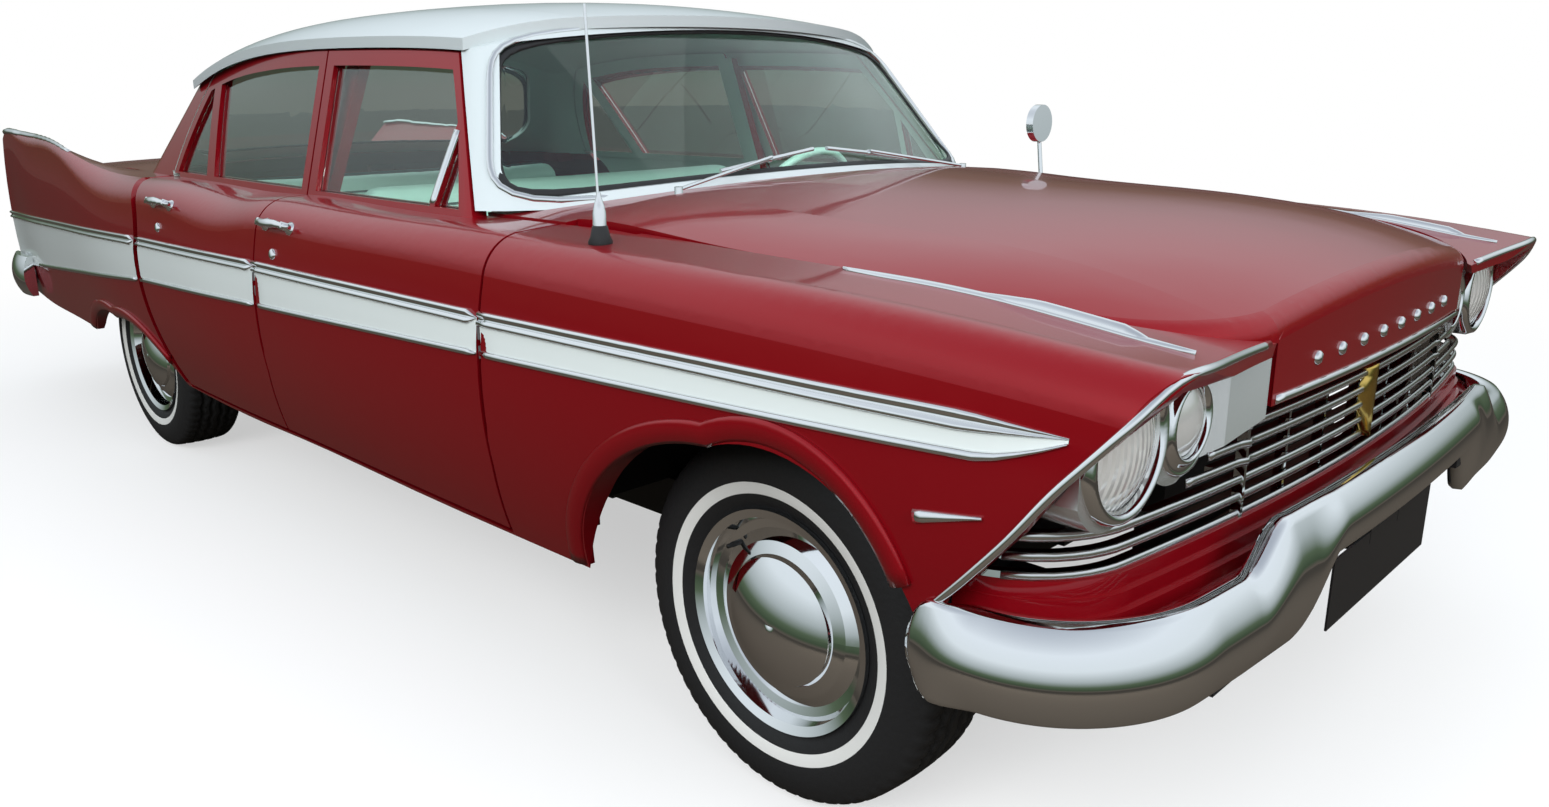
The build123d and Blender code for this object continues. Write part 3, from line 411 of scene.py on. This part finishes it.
# Pieces on the fenders and quarters, right and left
FRONT_ARCH = (
    arc3((1.452, 0.345), (1.592, 0.577), (1.85, 0.676), 24)[:-1]
    + arc3((1.85, 0.676), (2.11, 0.655), (2.213, 0.46), 24)
)
REAR_ARCH = (
    arc3((-1.505, 0.345), (-1.33, 0.455), (-1.04, 0.486), 20)[:-1]
    + arc3((-1.04, 0.486), (-0.73, 0.462), (-0.53, 0.345), 20)
)
FLARE_W = 0.040
FLARE_SHIFT = 0.46
OUTER_WALL_Y = 0.85
BROW_PLAN = (
    arc3((2.498, 0.482), (2.514, 0.64), (2.540, 0.81), 14)[:-1]
    + arc3((2.540, 0.81), (2.536, 0.86), (2.526, 0.90), 5)
)
BROW_SIDE = [
    (2.520, 0.845), (2.478, 0.792), (2.424, 0.730), (2.375, 0.660), (2.310, 0.585), (2.258, 0.530),
]
BROW_INSET = 0.006
BROW_LIFT = 0.004
FIN_X = (-2.534, -1.56)
FIN_Y = (0.80, 0.93)
FIN_LEAN = 0.25
SPEAR = [(1.916, 0.765), (2.488, 0.742)]
DART = [(2.235, 0.66), (2.335, 0.68)]
FENDERS = tree_of("front_fenders")
QUARTERS = tree_of("rear_quarters")


def moved_out(outline, distance, closed=False):
    """A flat outline moved sideways to its left."""
    moved = []
    last = len(outline) - 1
    for k, (x, z) in enumerate(outline):
        x0, z0 = outline[k - 1 if closed else max(k - 1, 0)]
        x1, z1 = outline[(k + 1) % (last + 1) if closed else min(k + 1, last)]
        length = hypot(x1 - x0, z1 - z0)
        moved.append((x - (z1 - z0) / length * distance, z + (x1 - x0) / length * distance))
    return moved


def on_line(line, count):
    """Points spread over a flat line of straight pieces."""
    firsts = [(k, p[0]) for k, p in enumerate(line)]
    seconds = [(k, p[1]) for k, p in enumerate(line)]
    return [(table(firsts, t), table(seconds, t)) for t in spread(0, len(line) - 1, count)]


def smoothed(path, rounds, closed=False):
    """The (point, normal) path with its kinks evened out and the ends of an open one kept."""
    for _ in range(rounds):
        ring = [path[-1], *path, path[0]] if closed else path
        middle = [
            ((a[0] + 2 * b[0] + c[0]) / 4, (a[1] + 2 * b[1] + c[1]).normalized())
            for a, b, c in zip(ring, ring[1:], ring[2:])
        ]
        path = middle if closed else [path[0], *middle, path[-1]]
    return path


for side, _, word in SIDES:
    for tree, outline, label in ((FENDERS, FRONT_ARCH, "front"), (QUARTERS, REAR_ARCH, "rear")):
        flare = [from_side(tree, x, z, side) for x, z in moved_out(outline, FLARE_W * FLARE_SHIFT)]
        flare = [hit for hit in flare if hit and abs(hit[0].y) > OUTER_WALL_Y]
        if side > 0:
            flare.reverse()
        strip(f"arch_flare_{label}_{word}", flare, FLARE_W, 0.010, RED, "body", FLARE)
    brow = [cast(FENDERS, (x - BROW_INSET, side * y, 1.2), -Z, 0.6) for x, y in BROW_PLAN]
    brow += [from_side(FENDERS, x - BROW_INSET, z, side) for x, z in on_line(BROW_SIDE, 26)]
    brow = smoothed([(hit[0] + X * BROW_LIFT, (hit[1] + X).normalized()) for hit in brow if hit], 4)
    strip(f"brow_trim_{word}", brow, 0.012, 0.006, CHROME, "body")
    ridge = []
    for x in spread(*FIN_X, 30):
        tops = [cast(QUARTERS, (x, side * y, 1.3), -Z, 0.6) for y in spread(*FIN_Y, 27)]
        top = max((hit for hit in tops if hit), key=lambda hit: hit[0].z)
        ridge.append((top[0], Vector((0, side * FIN_LEAN, 1)).normalized()))
    strip(
        f"fin_cap_{word}", ridge, lambda t: 0.030 - 0.018 * t, lambda t: 0.012 - 0.006 * t,
        CHROME, "body",
    )
    spear = [cast(FENDERS, (x, side * y, 1.3), -Z, 0.7) for x, y in on_line(SPEAR, 30)]
    strip(
        f"fender_spear_{word}", spear, lambda t: 0.016 * min(1, 0.2 + 6 * t, 0.2 + 8 * (1 - t)), 0.006,
        CHROME, "body",
    )
    strip(
        f"fender_blade_{word}", spear[12:27], lambda t: 0.013 * min(1, 0.3 + 4 * t),
        lambda t: 0.004 + 0.011 * min(1, 2.5 * t, 8 * (1 - t)), CHROME, "body",
    )
    dart = [from_side(FENDERS, x, z, side) for x, z in on_line(DART, 9)]
    strip(f"fender_dart_{word}", dart, lambda t: 0.020 * (1 - 0.75 * t), 0.007, CHROME, "body")

# Nose: hood lip and studs, grille bars, blank plate, shield and lamp rims
HOOD_TREE = tree_of("hood")
AHEAD_X = 3
LIP_Z = 0.764
LIP_HALF = 0.466
STUD_Z = 0.806
STUD_HALF = 0.33
lip = [cast(HOOD_TREE, (AHEAD_X, y, LIP_Z), -X) for y in spread(-LIP_HALF, LIP_HALF, 40)]
strip("hood_lip", lip, 0.014, 0.006, CHROME, "hood")
STUD = [(0.011, -0.002), (0.011, 0.003), (0.008, 0.006), (0.0005, 0.007)]
for k, y in enumerate(spread(-STUD_HALF, STUD_HALF, 8)):
    hit = cast(HOOD_TREE, (AHEAD_X, y, STUD_Z), -X)
    lathe(f"hood_stud_{k}", hit[0], hit[1], STUD, CHROME, "hood", 20)

GRILLE_TREE = tree_of("grille")
BAR_Z = 0.583
BAR_STEP = 0.028
BAR_REACHES = (0.92, 0.92, 0.92, 0.64, 0.585, 0.53)
for k, reach in enumerate(BAR_REACHES):
    bar = [cast(GRILLE_TREE, (AHEAD_X, y, BAR_Z), -X, 0.72) for y in spread(-reach, reach, 90)]
    bar = [(point + Z * BAR_STEP * k, normal) for point, normal in filter(None, bar)]
    strip(f"grille_bar_{k}", bar, 0.013, 0.005, BRIGHT, "body")

PLATE = [(2.541, 0.335), (2.5445, 0.335), (2.5445, 0.462), (2.541, 0.462)]
PLATE_HALF = 0.26
points = [(x, y, z) for y in (-PLATE_HALF, PLATE_HALF) for x, z in PLATE]
BLOCK_FACES = [(0, 1, 2, 3), (7, 6, 5, 4), (0, 4, 5, 1), (1, 5, 6, 2), (2, 6, 7, 3), (3, 7, 4, 0)]
add_mesh("blank_plate", points, BLOCK_FACES, BLACK, "body", smooth=False)

SHIELD_SECTIONS = [
    (-0.062, 0.006), (-0.05, 0.016), (-0.01, 0.030), (0.03, 0.033),
    (0.045, 0.026), (0.05, 0.02), (0.062, 0.024), (0.07, 0.010),
]
SHIELD_BULGE = [
    (-1, -0.006), (-0.9, 0.004), (-0.35, 0.009), (0, 0.013), (0.35, 0.009), (0.9, 0.004), (1, -0.006),
]
SHIELD_X = 2.484
SHIELD_Z = 0.668
points = [
    (SHIELD_X + out, u * half, SHIELD_Z + z) for z, half in SHIELD_SECTIONS for u, out in SHIELD_BULGE
]
faces = grid(len(SHIELD_SECTIONS), len(SHIELD_BULGE)) + end_caps(len(SHIELD_SECTIONS), len(SHIELD_BULGE))
add_mesh("grille_shield", points, faces, GOLD, "body")

LAMP_RIM = [(0.0865, 0.003), (0.088, 0.012), (0.094, 0.017), (0.102, 0.014), (0.106, 0.004), (0.106, -0.02)]
PARK_RIM = [
    (0.0505, 0.002), (0.052, 0.010), (0.056, 0.013), (0.062, 0.009),
    (0.066, 0.0), (0.074, 0.004), (0.078, 0.004), (0.080, -0.01),
]
LAMP_X = 2.440
for side, _, word in SIDES:
    lathe(f"headlamp_rim_{word}", (LAMP_X, side * 0.824, 0.764), X, LAMP_RIM, CHROME, "body", 64)
    lathe(f"parking_rim_{word}", (LAMP_X, side * 0.640, 0.757), X, PARK_RIM, CHROME, "body", 56)

# Front bumper: one smooth pressing along the bow, raised over the middle
BUMPER_X = 2.5981
BUMPER_TURN = (2.566, 0.740)
BUMPER_CORNER = (2.462, 0.940)
BUMPER_END = (2.228, 0.990)
BUMPER_BULGE = 0.029
BUMPER_DEPTH = 0.054
BUMPER_THIN = 0.017
BUMPER_LOW, LOW_DROP, LOW_SLOPE = 0.500, 0.102, (0.365, 0.465)
BUMPER_TOP, TOP_DROP, TOP_SLOPE = 0.612, 0.064, (0.520, 0.630)
THIN_ENDS = (2.264, 2.34)
CLOSE_LENGTH = 0.04
FRONT_POINTS = 19


def tangent_arc(start, end, way, count):
    """Points and directions of the flat arc that leaves start along a direction and meets end."""
    chord = (end[0] - start[0], end[1] - start[1])
    lean = way[0] * chord[1] - way[1] * chord[0]
    sweep = 2 * atan2(lean, way[0] * chord[0] + way[1] * chord[1])
    r = (chord[0] ** 2 + chord[1] ** 2) / (2 * lean)
    centre = (start[0] - way[1] * r, start[1] + way[0] * r)
    rows = []
    for a in spread(0, sweep, count):
        dx, dy = start[0] - centre[0], start[1] - centre[1]
        point = (centre[0] + dx * cos(a) - dy * sin(a), centre[1] + dx * sin(a) + dy * cos(a))
        rows.append((point, (way[0] * cos(a) - way[1] * sin(a), way[0] * sin(a) + way[1] * cos(a))))
    return rows


def eased(value, start, end):
    """A smooth step from 0 to 1 between two values."""
    t = min(1, max(0, (value - start) / (end - start)))
    return t * t * (3 - 2 * t)


def bumper_section(low, high, scale, depth):
    """Offsets outwards and heights of the section, from the low rear edge round the front to the top."""
    middle, half = (low + high) / 2, (high - low) / 2 * scale
    bulge = BUMPER_BULGE * depth / BUMPER_DEPTH
    r = (half**2 + bulge**2) / (2 * bulge)
    reach = atan2(half, r - bulge)
    rows = [(-depth, -half + depth / 9), (-0.85 * depth, -half)]
    rows += [(r * cos(a) - r, r * sin(a) * 0.985) for a in spread(-reach, reach, FRONT_POINTS)]
    rows += [(-0.85 * depth, half), (-depth, half - depth / 9)]
    return [(out, middle + z) for out, z in rows]


half_bow = tangent_arc((BUMPER_X, 0), BUMPER_TURN, (0, 1), 64)
half_bow += tangent_arc(BUMPER_TURN, BUMPER_CORNER, half_bow[-1][1], 18)[1:]
half_bow += tangent_arc(BUMPER_CORNER, BUMPER_END, half_bow[-1][1], 26)[1:]
bow = [((x, -y), (-tx, ty)) for (x, y), (tx, ty) in reversed(half_bow[1:])] + half_bow
points = []
for (x, y), (tx, ty) in bow:
    low = BUMPER_LOW - LOW_DROP * eased(abs(y), *LOW_SLOPE)
    high = BUMPER_TOP - TOP_DROP * eased(abs(y), *TOP_SLOPE)
    close = max(0, 1 - (x - BUMPER_END[0]) / CLOSE_LENGTH)
    depth = BUMPER_THIN + (BUMPER_DEPTH - BUMPER_THIN) * eased(x, *THIN_ENDS)
    section = bumper_section(low, high, (1 - 0.75 * close**2) ** 0.5, depth)
    points += [(x + ty * out, y - tx * out, z) for out, z in section]
faces = grid(len(bow), len(section), False, True) + end_caps(len(bow), len(section))
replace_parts(add_mesh("front_bumper_bar", points, faces, CHROME, "body"), "front_bumper")


# Windshield and backlight surrounds
def softened(sides, rounds, count):
    """A closed outline of arced sides, with its corners smoothed."""
    line = [point for a, b, c in sides for point in arc3(a, b, c, count)[:-1]]
    for _ in range(rounds):
        line = [
            tuple((line[k - 1][i] + 2 * line[k][i] + line[(k + 1) % len(line)][i]) / 4 for i in (0, 1))
            for k in range(len(line))
        ]
    return line


WINDSHIELD = softened(
    [
        ((-0.806, 0.976), (0, 1.02), (0.806, 0.976)), ((0.806, 0.976), (0.729, 1.1395), (0.652, 1.302)),
        ((0.652, 1.302), (0, 1.345), (-0.652, 1.302)), ((-0.652, 1.302), (-0.729, 1.1395), (-0.806, 0.976)),
    ], 3, 22,
)
BACKLIGHT = softened(
    [
        ((-0.690, 0.985), (0, 1.0), (0.690, 0.985)), ((0.690, 0.985), (0.6255, 1.128), (0.560, 1.270)),
        ((0.560, 1.270), (0, 1.335), (-0.560, 1.270)), ((-0.560, 1.270), (-0.6255, 1.128), (-0.690, 0.985)),
    ], 8, 22,
)
SCREENS = tree_of("pillars", "body_glass")
for label, outline, way in (("windshield", WINDSHIELD, -1), ("backlight", BACKLIGHT, 1)):
    for part, out, width, height, mat, slot in (
        ("gasket", -0.002, 0.018, 0.006, BLACK, "plastic_black"),
        ("trim", 0.014, 0.015, 0.010, CHROME, "chrome"),
    ):
        path = [cast(SCREENS, (-way * 2.0, y, z), way * X) for y, z in moved_out(outline, -out, True)]
        path = smoothed([hit for hit in path if hit and 0.4 < -way * hit[0].x < 1.45], 5, True)
        strip(f"{label}_{part}", path, width, height, mat, "body", closed=True)

# Door pieces: handles, lock buttons and vent window bars
HANDLE_FOOT = [(0.016, -0.002), (0.016, 0.003), (0.010, 0.010), (0.009, 0.026), (0.0005, 0.027)]
LOCK = [(0.013, -0.002), (0.013, 0.004), (0.009, 0.007), (0.0005, 0.007)]
HANDLE_HALF = 0.085
FOOT_HALF = 0.065
HANDLE_RISE = 0.028
HANDLE_ARCH = 1.8
LOCK_BACK, LOCK_DROP = 0.01, 0.065
VENT_POST = [(0.822, 0.968), (0.833, 1.120)]
for side, letter, word in SIDES:
    for node, body, x_handle, z_handle in (
        ("front_door_" + letter, "front_door_" + word, 0.335, 0.892),
        ("rear_door_" + letter, "rear_door_" + word, -0.450, 0.893),
    ):
        tree = tree_of(node)
        for k, dx in enumerate((-FOOT_HALF, FOOT_HALF)):
            point, normal = from_side(tree, x_handle + dx, z_handle, side)
            lathe(f"handle_foot_{k}_{node}", point, normal, HANDLE_FOOT, CHROME, body, 20)
        bar = []
        for x in spread(x_handle - HANDLE_HALF, x_handle + HANDLE_HALF, 15):
            point, normal = from_side(tree, x, z_handle, side)
            bar.append((point + normal * (HANDLE_RISE - HANDLE_ARCH * (x - x_handle) ** 2), normal))
        strip(
            f"handle_{node}", bar, lambda t: 0.022 - 0.010 * abs(2 * t - 1), 0.008,
            CHROME, body, ROUND,
        )
        point, normal = from_side(tree, x_handle - LOCK_BACK, z_handle - LOCK_DROP, side)
        lathe(f"lock_{node}", point, normal, LOCK, CHROME, body, 20)
    tree = tree_of("front_door_" + letter)
    post = [from_side(tree, x, z, side) for x, z in on_line(VENT_POST, 14)]
    strip("vent_post_" + letter, post, 0.020, 0.006, CHROME, "front_door_" + word)

# Antenna foot
BOOT = [(0.022, -0.004), (0.022, 0.004), (0.018, 0.012), (0.014, 0.030), (0.010, 0.034)]
FERRULE = [(0.012, -0.002), (0.012, 0.02), (0.009, 0.034), (0.004, 0.05), (0.004, 0.055)]
ANTENNA_X, ANTENNA_Y = 1.446, -0.88
foot = cast(FENDERS, (ANTENNA_X, ANTENNA_Y, 1.2), -Z, 0.5)[0]
lathe("antenna_boot", foot, Z, BOOT, BLACK, "body", 28)
lathe("antenna_ferrule", foot + Z * 0.034, Z, FERRULE, CHROME, "body", 28)

# Tyres with tread, whitewall and a valve
TREAD_TURNS = 264
TREAD_HALF = 0.064
TREAD_R = 0.327
TREAD_CROWN = 0.003
SIDE_PROFILE = (
    [(0.1822, 0.0720)]
    + arc3((0.200, 0.077), (0.252, 0.098), (0.308, 0.087), 22)
    + arc3((0.308, 0.087), (0.321, 0.079), (TREAD_R, TREAD_HALF), 6)[1:]
)
PROFILE = (
    SIDE_PROFILE
    + [
        (TREAD_R + TREAD_CROWN * (1 - (y / TREAD_HALF) ** 2), y)
        for y in spread(TREAD_HALF, -TREAD_HALF, 33)[1:-1]
    ]
    + [(r, -y) for r, y in reversed(SIDE_PROFILE)]
)
GROOVES = (-0.044, -0.016, 0.016, 0.044)
GROOVE_W = 0.0045
GROOVE_D = 0.007
ZIGZAG = 0.0022
SHOULDER_R = 0.312
SHOULDER_CUT = 0.003
WHITE_RING = (0.231, 0.249)
VALVE = [(0.005, 0), (0.005, 0.022), (0.004, 0.024), (0.004, 0.032), (0.0005, 0.033)]


def cut_depth(turn_index, r, y):
    """How deep the tread is cut at a place on the tyre."""
    zigzag = (abs((turn_index % 8) - 4) - 2) * ZIGZAG
    if r > TREAD_R - 0.0005 and abs(y) < TREAD_HALF:
        if any(abs(y - groove - zigzag) < GROOVE_W for groove in GROOVES):
            return GROOVE_D
        return GROOVE_D * 0.6 if turn_index % 4 == 0 and abs(y) > 0.03 else 0
    return SHOULDER_CUT if turn_index % 4 == 0 and r > SHOULDER_R else 0


def tyre(name, body, side):
    """A tyre with its cut tread, its white ring on the outer wall and the valve in the rim."""
    low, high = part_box(name)
    centre = (Vector(low) + Vector(high)) / 2
    points = []
    for t in range(TREAD_TURNS):
        angle = 2 * pi * t / TREAD_TURNS
        for r, y in PROFILE:
            r -= cut_depth(t, r, y)
            points.append(centre + Vector((r * cos(angle), y, r * sin(angle))))
    faces = grid(TREAD_TURNS, len(PROFILE), True)
    picks = [
        int(WHITE_RING[0] < (r0 + r1) / 2 < WHITE_RING[1] and y0 * side > 0)
        for (r0, y0), (r1, _) in zip(PROFILE, PROFILE[1:])
    ] * TREAD_TURNS
    obj = add_mesh("tyre_tread_" + name[-2:], points, faces, [RUBBER, WHITEWALL], body, picks)
    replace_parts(obj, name)
    valve_place = (centre.x - 0.11, centre.y + side * 0.058, centre.z + 0.11)
    lathe("valve_" + name[-2:], valve_place, side * Y, VALVE, BLACK, body, 14)


for name, body, side in (
    ("tyre_fl", "front_wheel_left", 1), ("tyre_fr", "front_wheel_right", -1),
    ("tyre_rl", "rear_wheel_left", 1), ("tyre_rr", "rear_wheel_right", -1),
):
    tyre(name, body, side)

# Bench seats: cushions swollen by a cloth simulation, with piped seams
VOXEL = 0.016
SWELL = 0.022
PRESSURE = 4.0
SWELL_FRAMES = 20
EDGE_ROUND = 0.045
SEAM_REACH = 0.03
SEAM_DEPTH = 0.007
PIPE_W, PIPE_H, PIPE_SINK = 0.007, 0.004, 0.003
SEAT_SEAMS = (-0.25, 0.25)


def settled(obj):
    """Gives the object the mesh that its modifiers make, and takes them off."""
    bpy.context.view_layer.update()
    mesh = bpy.data.meshes.new_from_object(obj.evaluated_get(bpy.context.evaluated_depsgraph_get()))
    obj.modifiers.clear()
    obj.data = mesh


def swell(obj, rests):
    """Blows the cushion up; its foot is held, and no point moves far."""
    start = [vertex.co.copy() for vertex in obj.data.vertices]
    held = obj.vertex_groups.new(name="held")
    held.add([k for k, point in enumerate(start) if rests(point)], 1.0, "REPLACE")
    cloth = obj.modifiers.new("cloth", "CLOTH")
    cloth.settings.use_pressure = True
    cloth.settings.uniform_pressure_force = PRESSURE
    cloth.settings.effector_weights.gravity = 0
    cloth.settings.vertex_group_mass = "held"
    cloth.point_cache.frame_end = SWELL_FRAMES
    for step in range(1, SWELL_FRAMES + 1):
        scene.frame_set(step)
    settled(obj)
    obj.vertex_groups.clear()
    for vertex, origin in zip(obj.data.vertices, start):
        move = vertex.co - origin
        vertex.co = origin + move * (SWELL / (SWELL + move.length))
    scene.frame_set(1)


def cushion(name, section, y_half, rests):
    """A cushion from its four-cornered side view, ordered from the low rear corner forwards and up."""
    points = [(x, y, z) for y in (-y_half, y_half) for x, z in section]
    mesh = bpy.data.meshes.new(name)
    mesh.from_pydata(points, [], BLOCK_FACES)
    obj = bpy.data.objects.new(name, mesh)
    scene.collection.objects.link(obj)
    rounding = obj.modifiers.new("rounding", "BEVEL")
    rounding.width = EDGE_ROUND
    rounding.segments = 5
    remesh = obj.modifiers.new("remesh", "REMESH")
    remesh.mode = "VOXEL"
    remesh.voxel_size = VOXEL
    settled(obj)
    swell(obj, rests)
    obj.modifiers.new("finer", "SUBSURF").render_levels = 1
    settled(obj)
    return obj


def seams(obj, lines):
    """Sinks sewn lines, given as rays onto the cushion, and gives their paths."""
    mesh = obj.data
    tree = BVHTree.FromPolygons([v.co for v in mesh.vertices], [tuple(f.vertices) for f in mesh.polygons])
    paths = []
    for rays in lines:
        path = [cast(tree, start, way) for start, way in rays]
        paths.append([hit for hit in path if hit])
    for vertex in mesh.vertices:
        near = min((vertex.co - point).length for path in paths for point, _ in path)
        if near < SEAM_REACH:
            vertex.co -= vertex.normal * SEAM_DEPTH * (1 - near / SEAM_REACH) ** 2
    return paths


def bench(label, node, rows):
    """The cushions of a bench, each with dark piping along its seams."""
    for part, section, y_half, rests, rays_of in rows:
        name = f"{label}_{part}"
        obj = cushion(name, section, y_half, rests)
        obj.data.materials.clear()
        obj.data.materials.append(VINYL)
        obj.data.polygons.foreach_set("use_smooth", [True] * len(obj.data.polygons))
        paths = seams(obj, rays_of)
        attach(obj, "body")
        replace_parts(obj, node)
        for k, path in enumerate(paths):
            path = [(point - normal * PIPE_SINK, normal) for point, normal in path]
            strip(f"{name}_piping_{k}", path, PIPE_W, PIPE_H, PIPING, "body", ROUND)


def down_lines(y_lines, x0, x1, z):
    """Rays onto a seat from above, along its length."""
    return [[((x, y, z), -Z) for x in spread(x0, x1, 24)] for y in y_lines]


def back_lines(y_lines, x, z0, z1):
    """Rays onto a backrest from the front, up its height."""
    return [[((x, y, z), -X) for z in spread(z0, z1, 24)] for y in y_lines]


INSET = 0.016
PAD_BACK, PAD_LOW, PAD_FALL = 0.165, 0.435, 0.028
BACK_LOW = 0.46
BACK_THICK_LOW, BACK_THICK_TOP = 0.135, 0.128
HELD_RISE = 0.015
RAY_Z, RAY_AHEAD = 1.2, 0.6
BASE_Y, BASE_Z = (0.24, 0.60), (0.362, 0.432)
for label, node, x_front, x_back, y_half, z_seat, z_top, lean in (
    ("front_bench", "front_seat", 0.700, 0.150, 0.690, 0.610, 0.985, 0.070),
    ("rear_bench", "rear_seat", -0.330, -0.860, 0.636, 0.600, 0.950, 0.0),
):
    pad = [
        (x_back + PAD_BACK, PAD_LOW), (x_front - INSET, PAD_LOW), (x_front - INSET, z_seat - INSET),
        (x_back + PAD_BACK, z_seat - INSET - PAD_FALL),
    ]
    back = [
        (x_back + INSET, BACK_LOW), (x_back + BACK_THICK_LOW, BACK_LOW),
        (x_back + BACK_THICK_TOP - lean, z_top - INSET), (x_back + INSET - lean, z_top - INSET),
    ]
    across_top = [
        ((x_back + RAY_AHEAD, y, z_top - 0.085), -X) for y in spread(-y_half + 0.03, y_half - 0.03, 48)
    ]
    bench(
        label, node,
        (
            (
                "cushion", pad, y_half - INSET, lambda p: p.z < PAD_LOW + HELD_RISE,
                down_lines(SEAT_SEAMS, x_back + 0.18, x_front - 0.03, RAY_Z),
            ),
            (
                "back", back, y_half - INSET, lambda p: p.z < BACK_LOW + HELD_RISE,
                back_lines(SEAT_SEAMS, x_back + RAY_AHEAD, z_seat + 0.03, z_top - 0.10) + [across_top],
            ),
        ),
    )
    x0, x1, (z0, z1) = x_back + 0.05, x_front - 0.07, BASE_Z
    for side, _, word in SIDES:
        corners = [
            (x, y, z)
            for y in sorted(side * reach for reach in BASE_Y)
            for x, z in ((x0, z0), (x1, z0), (x1, z1), (x0, z1))
        ]
        add_mesh(f"{label}_base_{word}", corners, BLOCK_FACES, STEEL, "body", smooth=False)

# Floor, light and white background
FLOOR_HALF = 60
FADE = {"From Min": 2.0, "From Max": 6.0, "To Min": 0.55, "To Max": 1.0}
floor_mesh = bpy.data.meshes.new("floor")
floor_mesh.from_pydata(
    [(FLOOR_HALF * u, FLOOR_HALF * v, 0) for u, v in ((-1, -1), (1, -1), (1, 1), (-1, 1))],
    [], [(0, 1, 2, 3)],
)
floor = bpy.data.objects.new("floor", floor_mesh)
floor_paint = material("floor", (0.90, 0.90, 0.90), 0.0, 1.0)
tree = floor_paint.node_tree
dim = tree.nodes.new("ShaderNodeBsdfDiffuse")
dim.inputs[0].default_value = (0.085, 0.07, 0.055, 1)
paths = tree.nodes.new("ShaderNodeLightPath")
white = tree.nodes.new("ShaderNodeEmission")
where = tree.nodes.new("ShaderNodeNewGeometry")
length = tree.nodes.new("ShaderNodeVectorMath")
length.operation = "LENGTH"
fade = tree.nodes.new("ShaderNodeMapRange")
fade.interpolation_type = "SMOOTHSTEP"
for socket, value in FADE.items():
    fade.inputs[socket].default_value = value
pale = tree.nodes.new("ShaderNodeMixShader")
mix = tree.nodes.new("ShaderNodeMixShader")
tree.links.new(where.outputs["Position"], length.inputs[0])
tree.links.new(length.outputs["Value"], fade.inputs["Value"])
tree.links.new(fade.outputs["Result"], pale.inputs[0])
tree.links.new(tree.nodes["Principled BSDF"].outputs[0], pale.inputs[1])
tree.links.new(white.outputs[0], pale.inputs[2])
tree.links.new(paths.outputs["Is Camera Ray"], mix.inputs[0])
tree.links.new(dim.outputs[0], mix.inputs[1])
tree.links.new(pale.outputs[0], mix.inputs[2])
tree.links.new(mix.outputs[0], tree.nodes["Material Output"].inputs[0])
floor_mesh.materials.append(floor_paint)
scene.collection.objects.link(floor)

world = bpy.data.worlds.new("studio")
scene.world = world
world.use_nodes = True
tree = world.node_tree
tree.nodes.clear()
output = tree.nodes.new("ShaderNodeOutputWorld")
soft = tree.nodes.new("ShaderNodeBackground")
plain = tree.nodes.new("ShaderNodeBackground")
plain.inputs[0].default_value = (1, 1, 1, 1)
mix = tree.nodes.new("ShaderNodeMixShader")
paths = tree.nodes.new("ShaderNodeLightPath")
place = tree.nodes.new("ShaderNodeTexCoord")
separate = tree.nodes.new("ShaderNodeSeparateXYZ")
ramp = tree.nodes.new("ShaderNodeValToRGB")
shift = tree.nodes.new("ShaderNodeMath")
shift.operation = "MULTIPLY_ADD"
shift.inputs[1].default_value = 0.5
shift.inputs[2].default_value = 0.5
tree.links.new(place.outputs["Generated"], separate.inputs[0])
tree.links.new(separate.outputs["Z"], shift.inputs[0])
tree.links.new(shift.outputs[0], ramp.inputs[0])
SKY = [
    (0.0, (0.20, 0.17, 0.14)), (0.50, (0.11, 0.095, 0.08)),
    (0.515, (0.05, 0.075, 0.045)), (0.55, (0.09, 0.13, 0.08)),
    (0.61, (0.42, 0.48, 0.49)), (0.72, (0.80, 0.88, 0.93)),
    (0.85, (0.85, 0.93, 1.0)), (1.0, (0.45, 0.50, 0.58)),
]
stops = ramp.color_ramp.elements
while len(stops) < len(SKY):
    stops.new(0.5)
for stop, (position, color) in zip(stops, SKY):
    stop.position = position
    stop.color = (*color, 1)
tree.links.new(ramp.outputs[0], soft.inputs[0])
tree.links.new(paths.outputs["Is Camera Ray"], mix.inputs[0])
tree.links.new(soft.outputs[0], mix.inputs[1])
tree.links.new(plain.outputs[0], mix.inputs[2])
tree.links.new(mix.outputs[0], output.inputs[0])


def area_light(name, place, aim, size, power):
    """A rectangular light that isn't mirrored in the paint and the bright metal."""
    light = bpy.data.lights.new(name, "AREA")
    light.shape = "RECTANGLE"
    light.size, light.size_y = size
    light.energy = power
    obj = bpy.data.objects.new(name, light)
    obj.location = place
    obj.rotation_euler = (Vector(aim) - Vector(place)).to_track_quat("-Z", "Y").to_euler()
    obj.visible_glossy = False
    scene.collection.objects.link(obj)


area_light("key", (3.5, -6.5, 4.5), (0, 0, 0.6), (6, 3), 420)
area_light("front", (8.0, -1.0, 4.0), (2, 0, 0.6), (5, 2.5), 260)
area_light("top", (-0.5, 0.5, 6.5), (0, 0, 0), (7, 4), 60)
